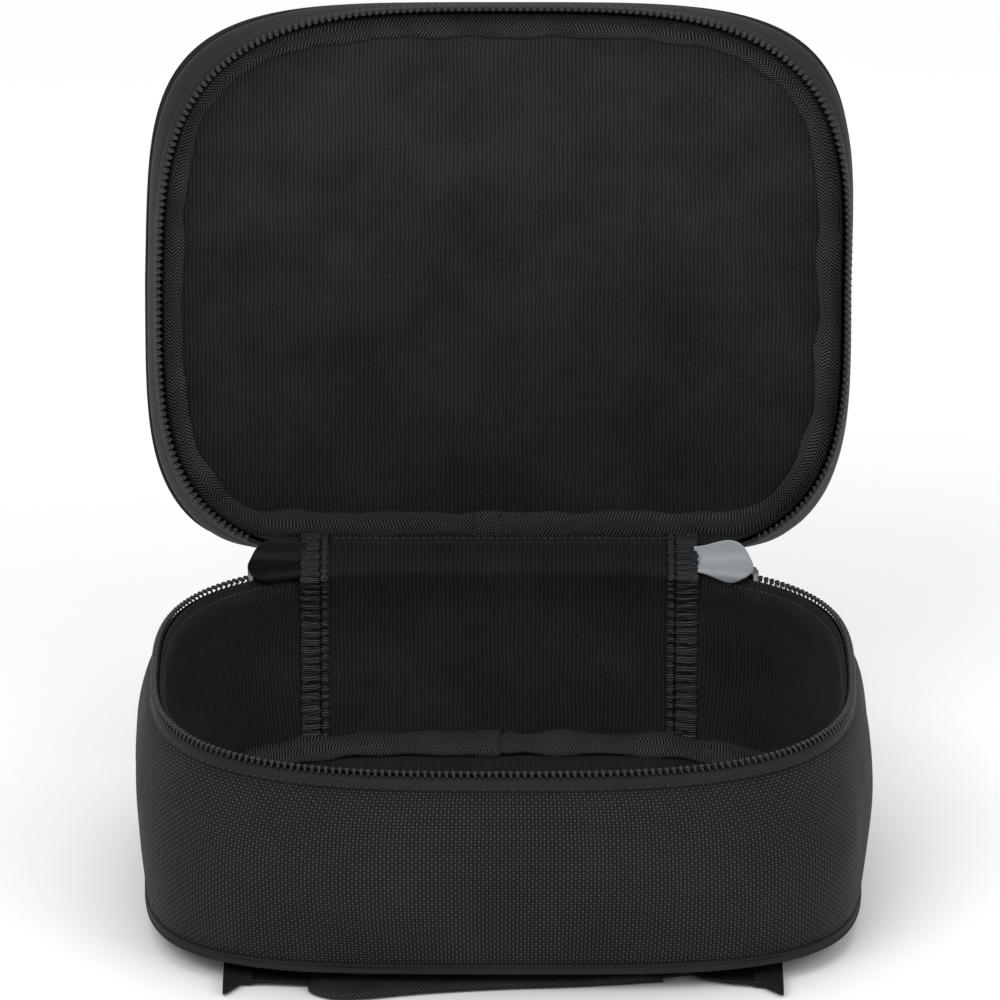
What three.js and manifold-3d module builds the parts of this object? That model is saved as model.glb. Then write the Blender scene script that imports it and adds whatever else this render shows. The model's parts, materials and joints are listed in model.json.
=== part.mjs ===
// A soft carry case for miniatures, standing on its underside with the lid unzipped and leaning back.
// Millimetres, +Z up, -Y is the front. The origin is the centre of the flat pad that it stands on.
import * as THREE from 'three';
import Module from 'manifold-3d';
import { mergeVertices } from 'three/addons/utils/BufferGeometryUtils.js';

// Driving dimensions.
const RIM_HALF_WIDTH = 106;     // zipper line, centre of the coil to the middle of the case
const RIM_HALF_DEPTH = 86;
const RIM_HEIGHT = 71;          // parting plane between base and lid
const BASE_SQUARENESS = 3.0;    // superellipse exponent of the base's outline at the zipper
const BASE_FRONT_SQUARER = 1.3; // how much squarer the front half of its outline is at the underside
const LID_HALF_WIDTH = 107;     // the opened lid has spread a little wider than the base
const LID_HALF_DEPTH = 87.6;
const LID_FRONT_SQUARENESS = 3.3;
const LID_FRONT_SQUARER = 1.0;  // how much squarer the lid's top seam is than its zipper line
const LID_REAR_SQUARENESS = 3.85;
const LID_REAR_SQUARER = 0.75;
const LID_FRONT_TAPER = 2.9;    // how far the lid's front wall slants in over its depth
const BACK_FLAT_Y = 84.5;       // the rounded outline is cut straight here along the hinge
const HINGE_Y = 84.9;
const LID_DEPTH = 18;           // parting plane to the lid's top seam
const LID_LEAN = 12.4;          // degrees past upright
const LID_REAR_TAPER = 7.5;     // how far the lid's rear wall slants in over its depth

// Layers of the walls, outside to inside.
const SKIN = 1.2;
const FOAM = 3.0;
const LINING = 0.9;
const GAP = 0.3;                // kept between solids that touch

// Levels in the base.
const PAD_LIFT = 3.7;           // how far the underside lies above its standing pad, round the edge
const WELT_BOTTOM = 6.2;
const WELT_TOP = 9.3;
const WALL_BOTTOM = WELT_TOP + GAP;
const WALL_TOP = RIM_HEIGHT - 6.5;
const FLOOR_TOP = 9.6;
const WALL_BULGE = 4.2;
const WALL_BULGE_HIGH = 1.5;    // above 1, the wall is fullest above its middle

// The seams of the hinge panel, and where the zipper and its end tabs are.
const SEAM_X = 58.5;            // between side wall and hinge panel, on the zipper line
const COIL_END_X = 80;
const TAPE_HALF_WIDTH = 4.2;    // seam tape
const TAB_INNER_X = 63.4;
const TAB_OUTER_X = 79.3;
const TAB_DROP = 3.9;           // how far the tab hangs below the parting plane
const TAB_RISE = 6.3;           // how far it reaches over the lid, from the hinge

// The carry handle on the underside.
const HANDLE_HALF_LENGTH = 84;
const HANDLE_FRONT_Y = -88;
const HANDLE_BACK_Y = -66;
const GRIP_LEFT_X = -58.5;
const GRIP_RIGHT_X = 48;

const RING_STEPS = 44;
const WALL_STEPS = 40;
const PANEL_STEPS = 12;

const NYLON = { color: 0x1b1e1f, roughness: 0.85 };
const SMOOTH_TAPE = { color: 0x2c3032, roughness: 0.6 };
const KNIT = { color: 0x191b1c, roughness: 0.9 };
const TWILL = { color: 0x17181a, roughness: 0.8 };
const FOAM_GREY = { color: 0x3a3a3a, roughness: 1 };
const COIL_NYLON = { color: 0x0c0d0e, roughness: 0.3 };
const BLACK_TAB = { color: 0x101112, roughness: 0.45 };
const GREY_TAB = { color: 0x969ea2, roughness: 0.5 };
const WEBBING = { color: 0x161718, roughness: 0.85 };
const GUNMETAL = { color: 0x4a4c4e, roughness: 0.35, metalness: 0.9 };

// ---- Rings: closed outlines of the case at one height ----

// A ring grown outward from the zipper line by offset, at height z.
function baseRing(offset, z) {
  const below = Math.max(0, 1 - z / WALL_TOP);
  return {
    a: RIM_HALF_WIDTH + offset,
    front: RIM_HALF_DEPTH + offset,
    rear: RIM_HALF_DEPTH + offset,
    frontSquareness: BASE_SQUARENESS + BASE_FRONT_SQUARER * below,
    rearSquareness: BASE_SQUARENESS,
    back: BACK_FLAT_Y + offset,
    z,
  };
}

// The same on the closed lid, with depth measured up from the parting plane.
function lidRing(offset, depth) {
  const k = depth / LID_DEPTH;
  return {
    a: LID_HALF_WIDTH + offset,
    front: LID_HALF_DEPTH + offset - LID_FRONT_TAPER * k,
    rear: LID_HALF_DEPTH + offset,
    frontSquareness: LID_FRONT_SQUARENESS + LID_FRONT_SQUARER * k,
    rearSquareness: LID_REAR_SQUARENESS + LID_REAR_SQUARER * k,
    back: BACK_FLAT_Y + offset - LID_REAR_TAPER * k,
    z: RIM_HEIGHT + depth,
  };
}

function ringPoint(ring, angle) {
  const atRear = Math.sin(angle) > 0;
  const n = atRear ? ring.rearSquareness : ring.frontSquareness;
  const along = Math.abs(Math.cos(angle)) / ring.a;
  const across = Math.abs(Math.sin(angle)) / (atRear ? ring.rear : ring.front);
  const radius = (along ** n + across ** n) ** (-1 / n);
  const y = Math.min(radius * Math.sin(angle), ring.back);
  return new THREE.Vector3(radius * Math.cos(angle), y, ring.z);
}

// The zipper lines of the two halves.
const BASE_RIM = baseRing(0, RIM_HEIGHT);
const LID_RIM = lidRing(0, 0);

// The polar angle of the point of a rim's rear outline that lies at x.
function rearAngle(x, rim) {
  const rest = 1 - (Math.abs(x) / rim.a) ** rim.rearSquareness;
  const y = rim.rear * rest ** (1 / rim.rearSquareness);
  return Math.atan2(y, x);
}

// ---- Solids made of rings ----

function facingOut(points, triangles) {
  let volume = 0;
  for (const [i, j, k] of triangles) {
    volume += points[i].dot(points[j].clone().cross(points[k]));
  }
  const turned = volume < 0 ? triangles.map(([i, j, k]) => [i, k, j]) : triangles;
  const geometry = new THREE.BufferGeometry().setFromPoints(points);
  geometry.setIndex(turned.flat());
  geometry.computeVertexNormals();
  return geometry;
}

function quads(triangles, row, next, width, closed) {
  const last = closed ? width : width - 1;
  for (let i = 0; i < last; i += 1) {
    const j = (i + 1) % width;
    triangles.push([row + i, next + i, next + j]);
    triangles.push([row + i, next + j, row + j]);
  }
}

// A section carried all the way round. The section is a closed list of rings.
function hoop(section, steps = RING_STEPS) {
  const points = [];
  const triangles = [];
  for (let s = 0; s < steps; s += 1) {
    const angle = (2 * Math.PI * s) / steps;
    section.forEach((ring) => points.push(ringPoint(ring, angle)));
  }
  const width = section.length;
  for (let s = 0; s < steps; s += 1) {
    quads(triangles, s * width, ((s + 1) % steps) * width, width, true);
  }
  return facingOut(points, triangles);
}

// A section carried from one angle to another, with flat ends. Section lies in (offset, height).
function strip(section, makeRing, from, to, steps = WALL_STEPS) {
  const rings = section.map(([offset, height]) => makeRing(offset, height));
  const points = [];
  const triangles = [];
  for (let s = 0; s <= steps; s += 1) {
    const angle = from + ((to - from) * s) / steps;
    rings.forEach((ring) => points.push(ringPoint(ring, angle)));
  }
  const width = section.length;
  for (let s = 0; s < steps; s += 1) {
    quads(triangles, s * width, (s + 1) * width, width, true);
  }
  const outline = section.map(([offset, height]) => new THREE.Vector2(offset, height));
  const clockwise = THREE.ShapeUtils.isClockWise(outline);
  const end = steps * width;
  for (const [i, j, k] of THREE.ShapeUtils.triangulateShape(outline, [])) {
    const [p, q] = clockwise ? [k, j] : [j, k];
    triangles.push([i, p, q]);
    triangles.push([i + end, q + end, p + end]);
  }
  return facingOut(points, triangles);
}

// A flat panel: rings from the middle of its underside, over its edge, to the middle of its top.
function panel(rings, steps = RING_STEPS) {
  const points = [];
  const triangles = [];
  for (const ring of rings) {
    for (let s = 0; s < steps; s += 1) {
      points.push(ringPoint(ring, (2 * Math.PI * s) / steps));
    }
  }
  for (let r = 0; r + 1 < rings.length; r += 1) {
    quads(triangles, r * steps, (r + 1) * steps, steps, true);
  }
  const bottom = points.push(new THREE.Vector3(0, 0, rings[0].z)) - 1;
  const top = points.push(new THREE.Vector3(0, 0, rings[rings.length - 1].z)) - 1;
  const lastRow = (rings.length - 1) * steps;
  for (let s = 0; s < steps; s += 1) {
    const next = (s + 1) % steps;
    triangles.push([bottom, s, next]);
    triangles.push([top, lastRow + next, lastRow + s]);
  }
  return facingOut(points, triangles);
}

// ---- Sections of the base's wall ----

// How far the outer face of the base's wall stands out from the zipper line.
function wallOffset(z) {
  const k = (z - WALL_BOTTOM) / (WALL_TOP - WALL_BOTTOM);
  if (k >= 1) {
    return 1.2 * (1 - (z - WALL_TOP) / (RIM_HEIGHT - WALL_TOP));
  }
  const swell = Math.sin(Math.PI * Math.max(k, 0) ** WALL_BULGE_HIGH) ** 0.6;
  return 2.8 - 1.6 * k + WALL_BULGE * swell;
}

// A layer between two depths under the outer face, over a list of heights.
function wallLayer(heights, outerDepth, innerDepth) {
  const outer = heights.map((z) => [wallOffset(z) - outerDepth, z]);
  const inner = heights.map((z) => [wallOffset(z) - innerDepth, z]);
  return outer.concat(inner.reverse());
}

const MIDDLE_LEVELS = [15, 24, 37, 50, 57];
const SKIN_LEVELS = [WALL_BOTTOM, ...MIDDLE_LEVELS, 61.5, WALL_TOP];
const FOAM_LEVELS = [WALL_BOTTOM + 0.6, ...MIDDLE_LEVELS, WALL_TOP - 3];
const LINING_LEVELS = [WALL_BOTTOM + 0.6, ...MIDDLE_LEVELS, WALL_TOP - 2.5];
const FOAM_OUTER = SKIN + GAP;
const FOAM_INNER = FOAM_OUTER + FOAM;
const LINING_OUTER = FOAM_INNER + GAP;
const LINING_INNER = LINING_OUTER + LINING;

// The lining turns outward at the top, over the foam, to the zipper tape.
function liningSection(heights) {
  const outer = heights.map((z) => [wallOffset(z) - LINING_OUTER, z]);
  const inner = heights.map((z) => [wallOffset(z) - LINING_INNER, z]);
  outer.push([-1.9, RIM_HEIGHT - 3.2]);
  inner.push([-2.8, RIM_HEIGHT - 2.9]);
  return outer.concat(inner.reverse());
}

// ---- Pieces of the base ----

function sideRange(rim, x = SEAM_X) {
  const end = rearAngle(x, rim);
  return [Math.PI - end, 2 * Math.PI + end];
}

function backRange(rim) {
  const start = rearAngle(SEAM_X, rim) + 0.012;
  return [start, Math.PI - start];
}

function baseWall() {
  return strip(wallLayer(SKIN_LEVELS, 0, SKIN), baseRing, ...sideRange(BASE_RIM));
}

function wallFoam() {
  return strip(wallLayer(FOAM_LEVELS, FOAM_OUTER, FOAM_INNER), baseRing, ...sideRange(BASE_RIM));
}

function wallLining() {
  return strip(liningSection(LINING_LEVELS), baseRing, ...sideRange(BASE_RIM));
}

const BACK_LEVELS = [WALL_BOTTOM, 24, 37, 50, WALL_TOP, RIM_HEIGHT - 0.6];
const BACK_INNER_LEVELS = [WALL_BOTTOM + 0.6, 24, 37, 50, WALL_TOP, RIM_HEIGHT - 0.6];

function backLayer(levels, outerDepth, innerDepth) {
  return strip(wallLayer(levels, outerDepth, innerDepth), baseRing, ...backRange(BASE_RIM), PANEL_STEPS);
}

function baseZipperTape() {
  const section = [
    [1.2, WALL_TOP + GAP],
    [0.1, RIM_HEIGHT - 2.5],
    [-1.1, RIM_HEIGHT - 2.5],
    [0.0, WALL_TOP + GAP],
  ];
  return strip(section, baseRing, ...sideRange(BASE_RIM));
}

const COIL_SECTION = [
  [1.4, 1.2],
  [0.8, 2.2],
  [-0.8, 2.2],
  [-1.4, 1.2],
  [-0.8, 0.3],
  [0.8, 0.3],
];

function baseZipperCoil() {
  const section = COIL_SECTION.map(([offset, height]) => [offset, RIM_HEIGHT - height]);
  return strip(section, baseRing, ...sideRange(BASE_RIM, COIL_END_X));
}

function weltSection(makeRing, low, high, outer) {
  const middle = (low + high) / 2;
  return [
    makeRing(outer - 2.4, low + 0.4),
    makeRing(outer - 0.8, low),
    makeRing(outer, middle),
    makeRing(outer - 0.8, high),
    makeRing(outer - 2.4, high - 0.4),
  ];
}

// The padded patch that the case stands on, set back from the front to leave room for the handle.
function padRing(grow, z) {
  return {
    a: 86 + grow,
    front: 63 + grow,
    rear: 63 + grow,
    frontSquareness: BASE_SQUARENESS,
    rearSquareness: BASE_SQUARENESS,
    back: 63 + grow,
    z,
  };
}

function baseBottom() {
  return panel([
    padRing(0, 0),
    padRing(4, PAD_LIFT),
    baseRing(1.1, WELT_BOTTOM - 0.9),
    baseRing(1.1, WELT_BOTTOM + 0.4),
    padRing(3, PAD_LIFT + SKIN + 0.3),
    padRing(-1, SKIN),
  ]);
}

function floorFoam() {
  return panel([
    padRing(-1.5, SKIN + GAP),
    padRing(2.7, PAD_LIFT + SKIN + 0.7),
    baseRing(0.4, WELT_BOTTOM + 0.8),
    baseRing(0.4, FLOOR_TOP - LINING - GAP),
  ]);
}

function floorLining() {
  return panel([baseRing(0.2, FLOOR_TOP - LINING), baseRing(0.2, FLOOR_TOP)]);
}

function floorBinding() {
  return hoop([
    baseRing(-3.5, FLOOR_TOP + GAP),
    baseRing(-3.5, FLOOR_TOP + 4.2),
    baseRing(-4.8, FLOOR_TOP + 5.2),
    baseRing(-9.0, FLOOR_TOP + 3.4),
    baseRing(-12.6, FLOOR_TOP + 1.0),
    baseRing(-12.6, FLOOR_TOP + GAP),
  ]);
}

// ---- Pieces of the lid, in its closed place ----

function lidZipperCoil() {
  const section = COIL_SECTION;
  return strip(section, lidRing, ...sideRange(LID_RIM, COIL_END_X));
}

function lidZipperTape() {
  const section = [
    [0.1, 2.5],
    [1.2, 6.2],
    [0.0, 6.2],
    [-1.1, 2.5],
  ];
  return strip(section, lidRing, ...sideRange(LID_RIM));
}

const GUSSET_SECTION = [
  [1.2, 6.5],
  [2.6, 12],
  [2.1, 16.7],
  [0.8, 16.7],
  [1.3, 12],
  [0.0, 6.5],
];

function lidGusset() {
  return strip(GUSSET_SECTION, lidRing, ...sideRange(LID_RIM));
}

function lidGussetLining() {
  const section = [
    [-1.5, 2.6],
    [-1.2, 6.5],
    [-0.2, 12],
    [-1.0, 12.2],
    [-2.0, 6.6],
    [-2.3, 2.6],
  ];
  return strip(section, lidRing, ...sideRange(LID_RIM));
}

function lidBinding() {
  return hoop([
    lidRing(-1.9, 12.5),
    lidRing(-2.4, 10.4),
    lidRing(-4.2, 8.9),
    lidRing(-6.6, 10.0),
    lidRing(-7.9, 12.0),
  ]);
}

function lidLining() {
  return panel([
    lidRing(-30, 12.3),
    lidRing(-8.2, 12.7),
    lidRing(-5, 12.9),
    lidRing(-1.2, 12.9),
    lidRing(-1.2, 13.6),
    lidRing(-30, 13.2),
  ]);
}

function lidFoam() {
  return panel([lidRing(-30, 13.6), lidRing(-0.9, 14.0), lidRing(-0.9, 16.5), lidRing(-30, 17.8)]);
}

function lidPanel() {
  return panel([
    lidRing(-30, 18.2),
    lidRing(0.6, 17.0),
    lidRing(0.6, 18.3),
    lidRing(-30, 19.5),
  ]);
}

function lidRearSkin() {
  const section = [
    [0.0, 0.6],
    [0.6, 8],
    [1.2, 16.7],
    [0.0, 16.7],
    [-0.6, 8],
    [-1.2, 0.6],
  ];
  return strip(section, lidRing, ...backRange(LID_RIM), PANEL_STEPS);
}

function lidRearLining() {
  const section = [
    [-2.0, 0.6],
    [-1.4, 8],
    [-1.0, 11.6],
    [-1.7, 11.6],
    [-2.1, 8],
    [-2.7, 0.6],
  ];
  return strip(section, lidRing, ...backRange(LID_RIM), PANEL_STEPS);
}

// ---- Hinge corners: seam tapes and zipper end tabs ----

// A section laid along the rear outline, between two x.
function onRear(section, makeRing, rim, inner, outer, steps) {
  return strip(section, makeRing, rearAngle(outer, rim), rearAngle(inner, rim), steps);
}

function baseSeamTape(side) {
  const depth = LINING_INNER + 2 * GAP;
  const levels = [FLOOR_TOP + 6, 24, 37, 50, WALL_TOP, RIM_HEIGHT - 0.6];
  const section = wallLayer(levels, depth, depth + 1.3);
  return onRear(section, baseRing, BASE_RIM,
    side * (SEAM_X - TAPE_HALF_WIDTH), side * (SEAM_X + TAPE_HALF_WIDTH), 3);
}

function lidSeamTape(side) {
  const section = [
    [-3.1, 0.6],
    [-2.5, 8],
    [-3.7, 8],
    [-4.3, 0.6],
  ];
  return onRear(section, lidRing, LID_RIM,
    side * (SEAM_X - TAPE_HALF_WIDTH), side * (SEAM_X + TAPE_HALF_WIDTH), 3);
}

function baseEndTab(side) {
  const inward = 4.6;
  const section = [
    [-inward, RIM_HEIGHT - 0.6],
    [-inward - 1.1, RIM_HEIGHT - 0.6],
    [-inward - 1.5, RIM_HEIGHT - TAB_DROP],
    [-inward - 0.4, RIM_HEIGHT - TAB_DROP],
  ];
  return onRear(section, baseRing, BASE_RIM, side * TAB_INNER_X, side * TAB_OUTER_X, 5);
}

// The tab's other half lies flat over the lid's mouth. Its outer end is round.
function lidEndTab(side) {
  const outline = new THREE.Shape();
  const foot = HINGE_Y - 0.7;
  const round = TAB_OUTER_X - TAB_RISE;
  outline.moveTo(side * TAB_INNER_X, foot);
  outline.lineTo(side * TAB_OUTER_X, foot);
  for (const turn of [0.2, 0.45, 0.7, 0.95, 1.2, Math.PI / 2]) {
    outline.lineTo(side * (round + TAB_RISE * Math.cos(turn)), HINGE_Y - TAB_RISE * Math.sin(turn));
  }
  outline.lineTo(side * TAB_INNER_X, HINGE_Y - TAB_RISE + 0.8);
  const plate = new THREE.ExtrudeGeometry(outline, { depth: 0.8, bevelEnabled: false });
  return plate.translate(0, 0, RIM_HEIGHT - 0.5);
}

// ---- Carry handle ----

function block(x0, x1, y0, y1, z0, z1) {
  const geometry = new THREE.BoxGeometry(x1 - x0, y1 - y0, z1 - z0);
  return geometry.translate((x0 + x1) / 2, (y0 + y1) / 2, (z0 + z1) / 2);
}

const WEB_LOW = 1.0;
const WEB_HIGH = 2.4;

function handleWebbing() {
  const reach = HANDLE_HALF_LENGTH - 1;
  return block(-reach, reach, HANDLE_FRONT_Y + 2, HANDLE_BACK_Y - 1, WEB_LOW, WEB_HIGH);
}

// A flat sleeve round the webbing: an outline with the webbing's slot left open, drawn out along x.
function sleeve(x0, x1, front, back, low, high) {
  const outline = new THREE.Shape();
  const round = (high - low) * 0.4;
  outline.moveTo(front + round, low);
  outline.lineTo(back - round, low);
  outline.quadraticCurveTo(back, low, back, (low + high) / 2);
  outline.quadraticCurveTo(back, high, back - round, high);
  outline.lineTo(front + round, high);
  outline.quadraticCurveTo(front, high, front, (low + high) / 2);
  outline.quadraticCurveTo(front, low, front + round, low);
  const slot = new THREE.Path();
  const slotFront = HANDLE_FRONT_Y + 2 - GAP;
  const slotBack = HANDLE_BACK_Y - 1 + GAP;
  slot.moveTo(slotFront, WEB_LOW - GAP);
  slot.lineTo(slotFront, WEB_HIGH + GAP);
  slot.lineTo(slotBack, WEB_HIGH + GAP);
  slot.lineTo(slotBack, WEB_LOW - GAP);
  outline.holes.push(slot);
  const options = { depth: x1 - x0, bevelEnabled: false, curveSegments: 3 };
  const geometry = new THREE.ExtrudeGeometry(outline, options);
  geometry.rotateX(Math.PI / 2);
  geometry.rotateZ(Math.PI / 2);
  return geometry.translate(x0, 0, 0);
}

function handleGrip() {
  return sleeve(GRIP_LEFT_X, GRIP_RIGHT_X, HANDLE_FRONT_Y - 4, HANDLE_BACK_Y, 0.05, 3.3);
}

function handleEndTab(side) {
  const inner = side * (HANDLE_HALF_LENGTH - 9);
  const outer = side * HANDLE_HALF_LENGTH;
  return sleeve(Math.min(inner, outer), Math.max(inner, outer),
    HANDLE_FRONT_Y, HANDLE_BACK_Y + 0.5, 0.1, 3.3);
}

// ---- Zipper sliders and pullers ----

const wasm = await Module();
wasm.setup();

function solid(geometry) {
  const bare = geometry.clone();
  bare.deleteAttribute('normal');
  bare.deleteAttribute('uv');
  const merged = mergeVertices(bare, 1e-4);
  return new wasm.Manifold(new wasm.Mesh({
    numProp: 3,
    vertProperties: new Float32Array(merged.attributes.position.array),
    triVerts: new Uint32Array(merged.index.array),
  }));
}

function joined(geometries) {
  const whole = geometries.map(solid).reduce((sum, next) => sum.add(next));
  const mesh = whole.getMesh();
  const geometry = new THREE.BufferGeometry();
  geometry.setAttribute('position', new THREE.BufferAttribute(new Float32Array(mesh.vertProperties), 3));
  geometry.setIndex(new THREE.BufferAttribute(new Uint32Array(mesh.triVerts), 1));
  geometry.computeVertexNormals();
  return geometry;
}

const SLIDER_X = 72.5;
const SLIDER_FACE = 2.8;        // inner face, out from the zipper line
const SLIDER_THICKNESS = 3.8;
const SLIDER_DROP = 4.5;        // its middle, below the parting plane
const PIN_OUT = SLIDER_FACE + SLIDER_THICKNESS + 1.2;
const PULLER_LENGTH = 22;

// In the slider's own axes: x along the zipper, y out from the case, z up, from the zipper line.
function sliderBody() {
  const outline = new THREE.Shape();
  outline.moveTo(-4.5, -2.6);
  outline.lineTo(-1, -3.9);
  outline.lineTo(3.6, -3.9);
  outline.lineTo(4.6, -2.6);
  outline.lineTo(4.6, 2.6);
  outline.lineTo(3.6, 3.9);
  outline.lineTo(-1, 3.9);
  outline.lineTo(-4.5, 2.6);
  const body = new THREE.ExtrudeGeometry(outline, {
    depth: SLIDER_THICKNESS, bevelEnabled: false,
  });
  body.rotateX(Math.PI / 2);
  body.translate(0, SLIDER_FACE + SLIDER_THICKNESS, 0);
  const loop = new THREE.Shape();
  const root = SLIDER_FACE + SLIDER_THICKNESS - 0.6;
  loop.moveTo(root, -3.0);
  loop.lineTo(root + 2.4, -3.0);
  loop.lineTo(root + 3.8, -1.6);
  loop.lineTo(root + 3.8, 1.6);
  loop.lineTo(root + 2.4, 3.0);
  loop.lineTo(root, 3.0);
  const eye = new THREE.Path();
  eye.moveTo(root + 0.8, -1.9);
  eye.lineTo(root + 0.8, 1.9);
  eye.lineTo(root + 2.8, 1.9);
  eye.lineTo(root + 2.8, -1.9);
  loop.holes.push(eye);
  const bridge = new THREE.ExtrudeGeometry(loop, { depth: 2.6, bevelEnabled: false });
  bridge.rotateX(Math.PI / 2);
  bridge.rotateZ(Math.PI / 2);
  bridge.translate(-1.3, 0, 0);
  return joined([body, bridge]);
}

// The puller hangs from a bar in the slider's loop: an outline with the loop's window, drawn out.
function puller() {
  const outline = new THREE.Shape();
  const halfWidth = 3.1;
  const tail = PULLER_LENGTH - 0.6;
  outline.moveTo(-halfWidth, 0.6);
  outline.lineTo(-halfWidth, -tail + 2.5);
  outline.quadraticCurveTo(-halfWidth, -tail, 0, -tail);
  outline.quadraticCurveTo(halfWidth, -tail, halfWidth, -tail + 2.5);
  outline.lineTo(halfWidth, 0.6);
  const window = new THREE.Path();
  window.moveTo(-1.9, -0.6);
  window.lineTo(1.9, -0.6);
  window.lineTo(1.9, -5.4);
  window.lineTo(-1.9, -5.4);
  outline.holes.push(window);
  const geometry = new THREE.ExtrudeGeometry(outline, {
    depth: 1.2, bevelEnabled: false, curveSegments: 4,
  });
  geometry.rotateX(Math.PI / 2);
  return geometry.translate(0, 0.6, 0);
}

// Where the slider sits: on the zipper line at the hinge corner, facing straight out from it.
function sliderPlace(side) {
  const angle = rearAngle(side * SLIDER_X, BASE_RIM);
  const level = baseRing(0, RIM_HEIGHT - SLIDER_DROP);
  const before = ringPoint(level, angle - 0.02);
  const after = ringPoint(level, angle + 0.02);
  const tangent = after.sub(before).normalize();
  const place = new THREE.Group();
  place.position.copy(ringPoint(level, angle));
  place.rotation.z = Math.atan2(-tangent.y, -tangent.x);
  return place;
}

// ---- The assembly ----

function mesh(name, geometry, look) {
  const material = new THREE.MeshStandardMaterial(look);
  const part = new THREE.Mesh(geometry, material);
  part.name = name;
  return part;
}

const SIDES = [['left', -1], ['right', 1]];

function makeBase() {
  const base = new THREE.Group();
  base.add(
    mesh('base_wall', baseWall(), NYLON),
    mesh('base_wall_foam', wallFoam(), FOAM_GREY),
    mesh('base_wall_lining', wallLining(), KNIT),
    mesh('base_bottom_panel', baseBottom(), NYLON),
    mesh('base_bottom_welt', hoop(weltSection(baseRing, WELT_BOTTOM, WELT_TOP, 3.8)), SMOOTH_TAPE),
    mesh('base_floor_foam', floorFoam(), FOAM_GREY),
    mesh('base_floor_lining', floorLining(), KNIT),
    mesh('base_floor_binding', floorBinding(), TWILL),
    mesh('back_panel', backLayer(BACK_LEVELS, 0, SKIN), NYLON),
    mesh('back_panel_foam', backLayer(BACK_INNER_LEVELS.slice(0, 5), FOAM_OUTER, FOAM_INNER), FOAM_GREY),
    mesh('back_panel_lining', backLayer(BACK_INNER_LEVELS, LINING_OUTER, LINING_INNER), KNIT),
    mesh('base_zipper_tape', baseZipperTape(), SMOOTH_TAPE),
    mesh('base_zipper_coil', baseZipperCoil(), COIL_NYLON),
    mesh('handle_webbing', handleWebbing(), WEBBING),
    mesh('handle_grip', handleGrip(), TWILL),
  );
  for (const [word, side] of SIDES) {
    base.add(mesh(`back_seam_tape_${word}`, baseSeamTape(side), TWILL));
    base.add(mesh(`zipper_end_tab_${word}`, baseEndTab(side), side < 0 ? BLACK_TAB : GREY_TAB));
    base.add(mesh(`handle_end_tab_${word}`, handleEndTab(side), WEBBING));
    const place = sliderPlace(side);
    place.add(mesh(`zipper_slider_${word}`, sliderBody(), GUNMETAL));
    const pull = mesh(`zipper_puller_${word}`, puller(), GUNMETAL);
    pull.position.set(0, PIN_OUT, 0);
    place.add(pull);
    base.add(place);
  }
  return base;
}

function makeLid() {
  const closed = new THREE.Group();
  closed.add(
    mesh('lid_panel', lidPanel(), NYLON),
    mesh('lid_welt', hoop(weltSection(lidRing, 17.0, 19.6, 3.4)), SMOOTH_TAPE),
    mesh('lid_gusset', lidGusset(), SMOOTH_TAPE),
    mesh('lid_gusset_lining', lidGussetLining(), KNIT),
    mesh('lid_foam', lidFoam(), FOAM_GREY),
    mesh('lid_lining', lidLining(), KNIT),
    mesh('lid_binding', lidBinding(), TWILL),
    mesh('lid_rear_skin', lidRearSkin(), NYLON),
    mesh('lid_rear_lining', lidRearLining(), KNIT),
    mesh('lid_zipper_tape', lidZipperTape(), SMOOTH_TAPE),
    mesh('lid_zipper_coil', lidZipperCoil(), COIL_NYLON),
  );
  for (const [word, side] of SIDES) {
    closed.add(mesh(`lid_seam_tape_${word}`, lidSeamTape(side), TWILL));
    closed.add(mesh(`lid_end_tab_${word}`, lidEndTab(side), side < 0 ? BLACK_TAB : GREY_TAB));
  }
  closed.position.set(0, -HINGE_Y, -RIM_HEIGHT);
  const hinge = new THREE.Group();
  hinge.position.set(0, HINGE_Y, RIM_HEIGHT);
  hinge.rotation.x = -THREE.MathUtils.degToRad(90 + LID_LEAN);
  hinge.add(closed);
  return hinge;
}

const carryCase = new THREE.Group();
carryCase.add(makeBase(), makeLid());

export default carryCase;
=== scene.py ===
"""Soft goods and materials for the miniature carry case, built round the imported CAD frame. Metres, +Z up."""
import json
import math
from dataclasses import dataclass

import bmesh
import bpy
import numpy as np
from mathutils import Matrix, Vector


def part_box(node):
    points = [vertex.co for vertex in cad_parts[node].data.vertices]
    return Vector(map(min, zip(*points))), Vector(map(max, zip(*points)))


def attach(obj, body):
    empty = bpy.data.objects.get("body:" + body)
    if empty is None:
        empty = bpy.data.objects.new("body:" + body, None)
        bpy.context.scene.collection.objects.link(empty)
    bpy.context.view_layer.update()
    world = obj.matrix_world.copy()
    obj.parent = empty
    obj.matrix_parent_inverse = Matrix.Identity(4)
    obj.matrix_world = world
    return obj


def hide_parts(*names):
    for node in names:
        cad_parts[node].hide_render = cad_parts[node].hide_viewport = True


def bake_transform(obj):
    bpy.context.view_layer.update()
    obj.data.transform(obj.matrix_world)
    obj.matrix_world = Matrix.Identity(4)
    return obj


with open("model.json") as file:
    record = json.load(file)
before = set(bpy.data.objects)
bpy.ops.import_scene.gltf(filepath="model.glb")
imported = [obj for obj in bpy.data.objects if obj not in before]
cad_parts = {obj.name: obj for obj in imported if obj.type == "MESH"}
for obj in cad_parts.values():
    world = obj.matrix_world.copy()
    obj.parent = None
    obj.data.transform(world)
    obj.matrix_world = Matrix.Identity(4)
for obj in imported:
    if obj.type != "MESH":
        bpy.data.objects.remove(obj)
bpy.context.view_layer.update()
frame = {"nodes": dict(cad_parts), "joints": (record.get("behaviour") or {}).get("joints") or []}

MM = 0.001

# ---- The case's own sizes, from the frame ----

JOINTS = {j["name"]: j for j in frame["joints"]}
HINGE = np.array(JOINTS["lid_hinge"]["pos_m"])
LID_OPEN = math.radians(-JOINTS["lid_hinge"]["range_deg"][0])

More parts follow.
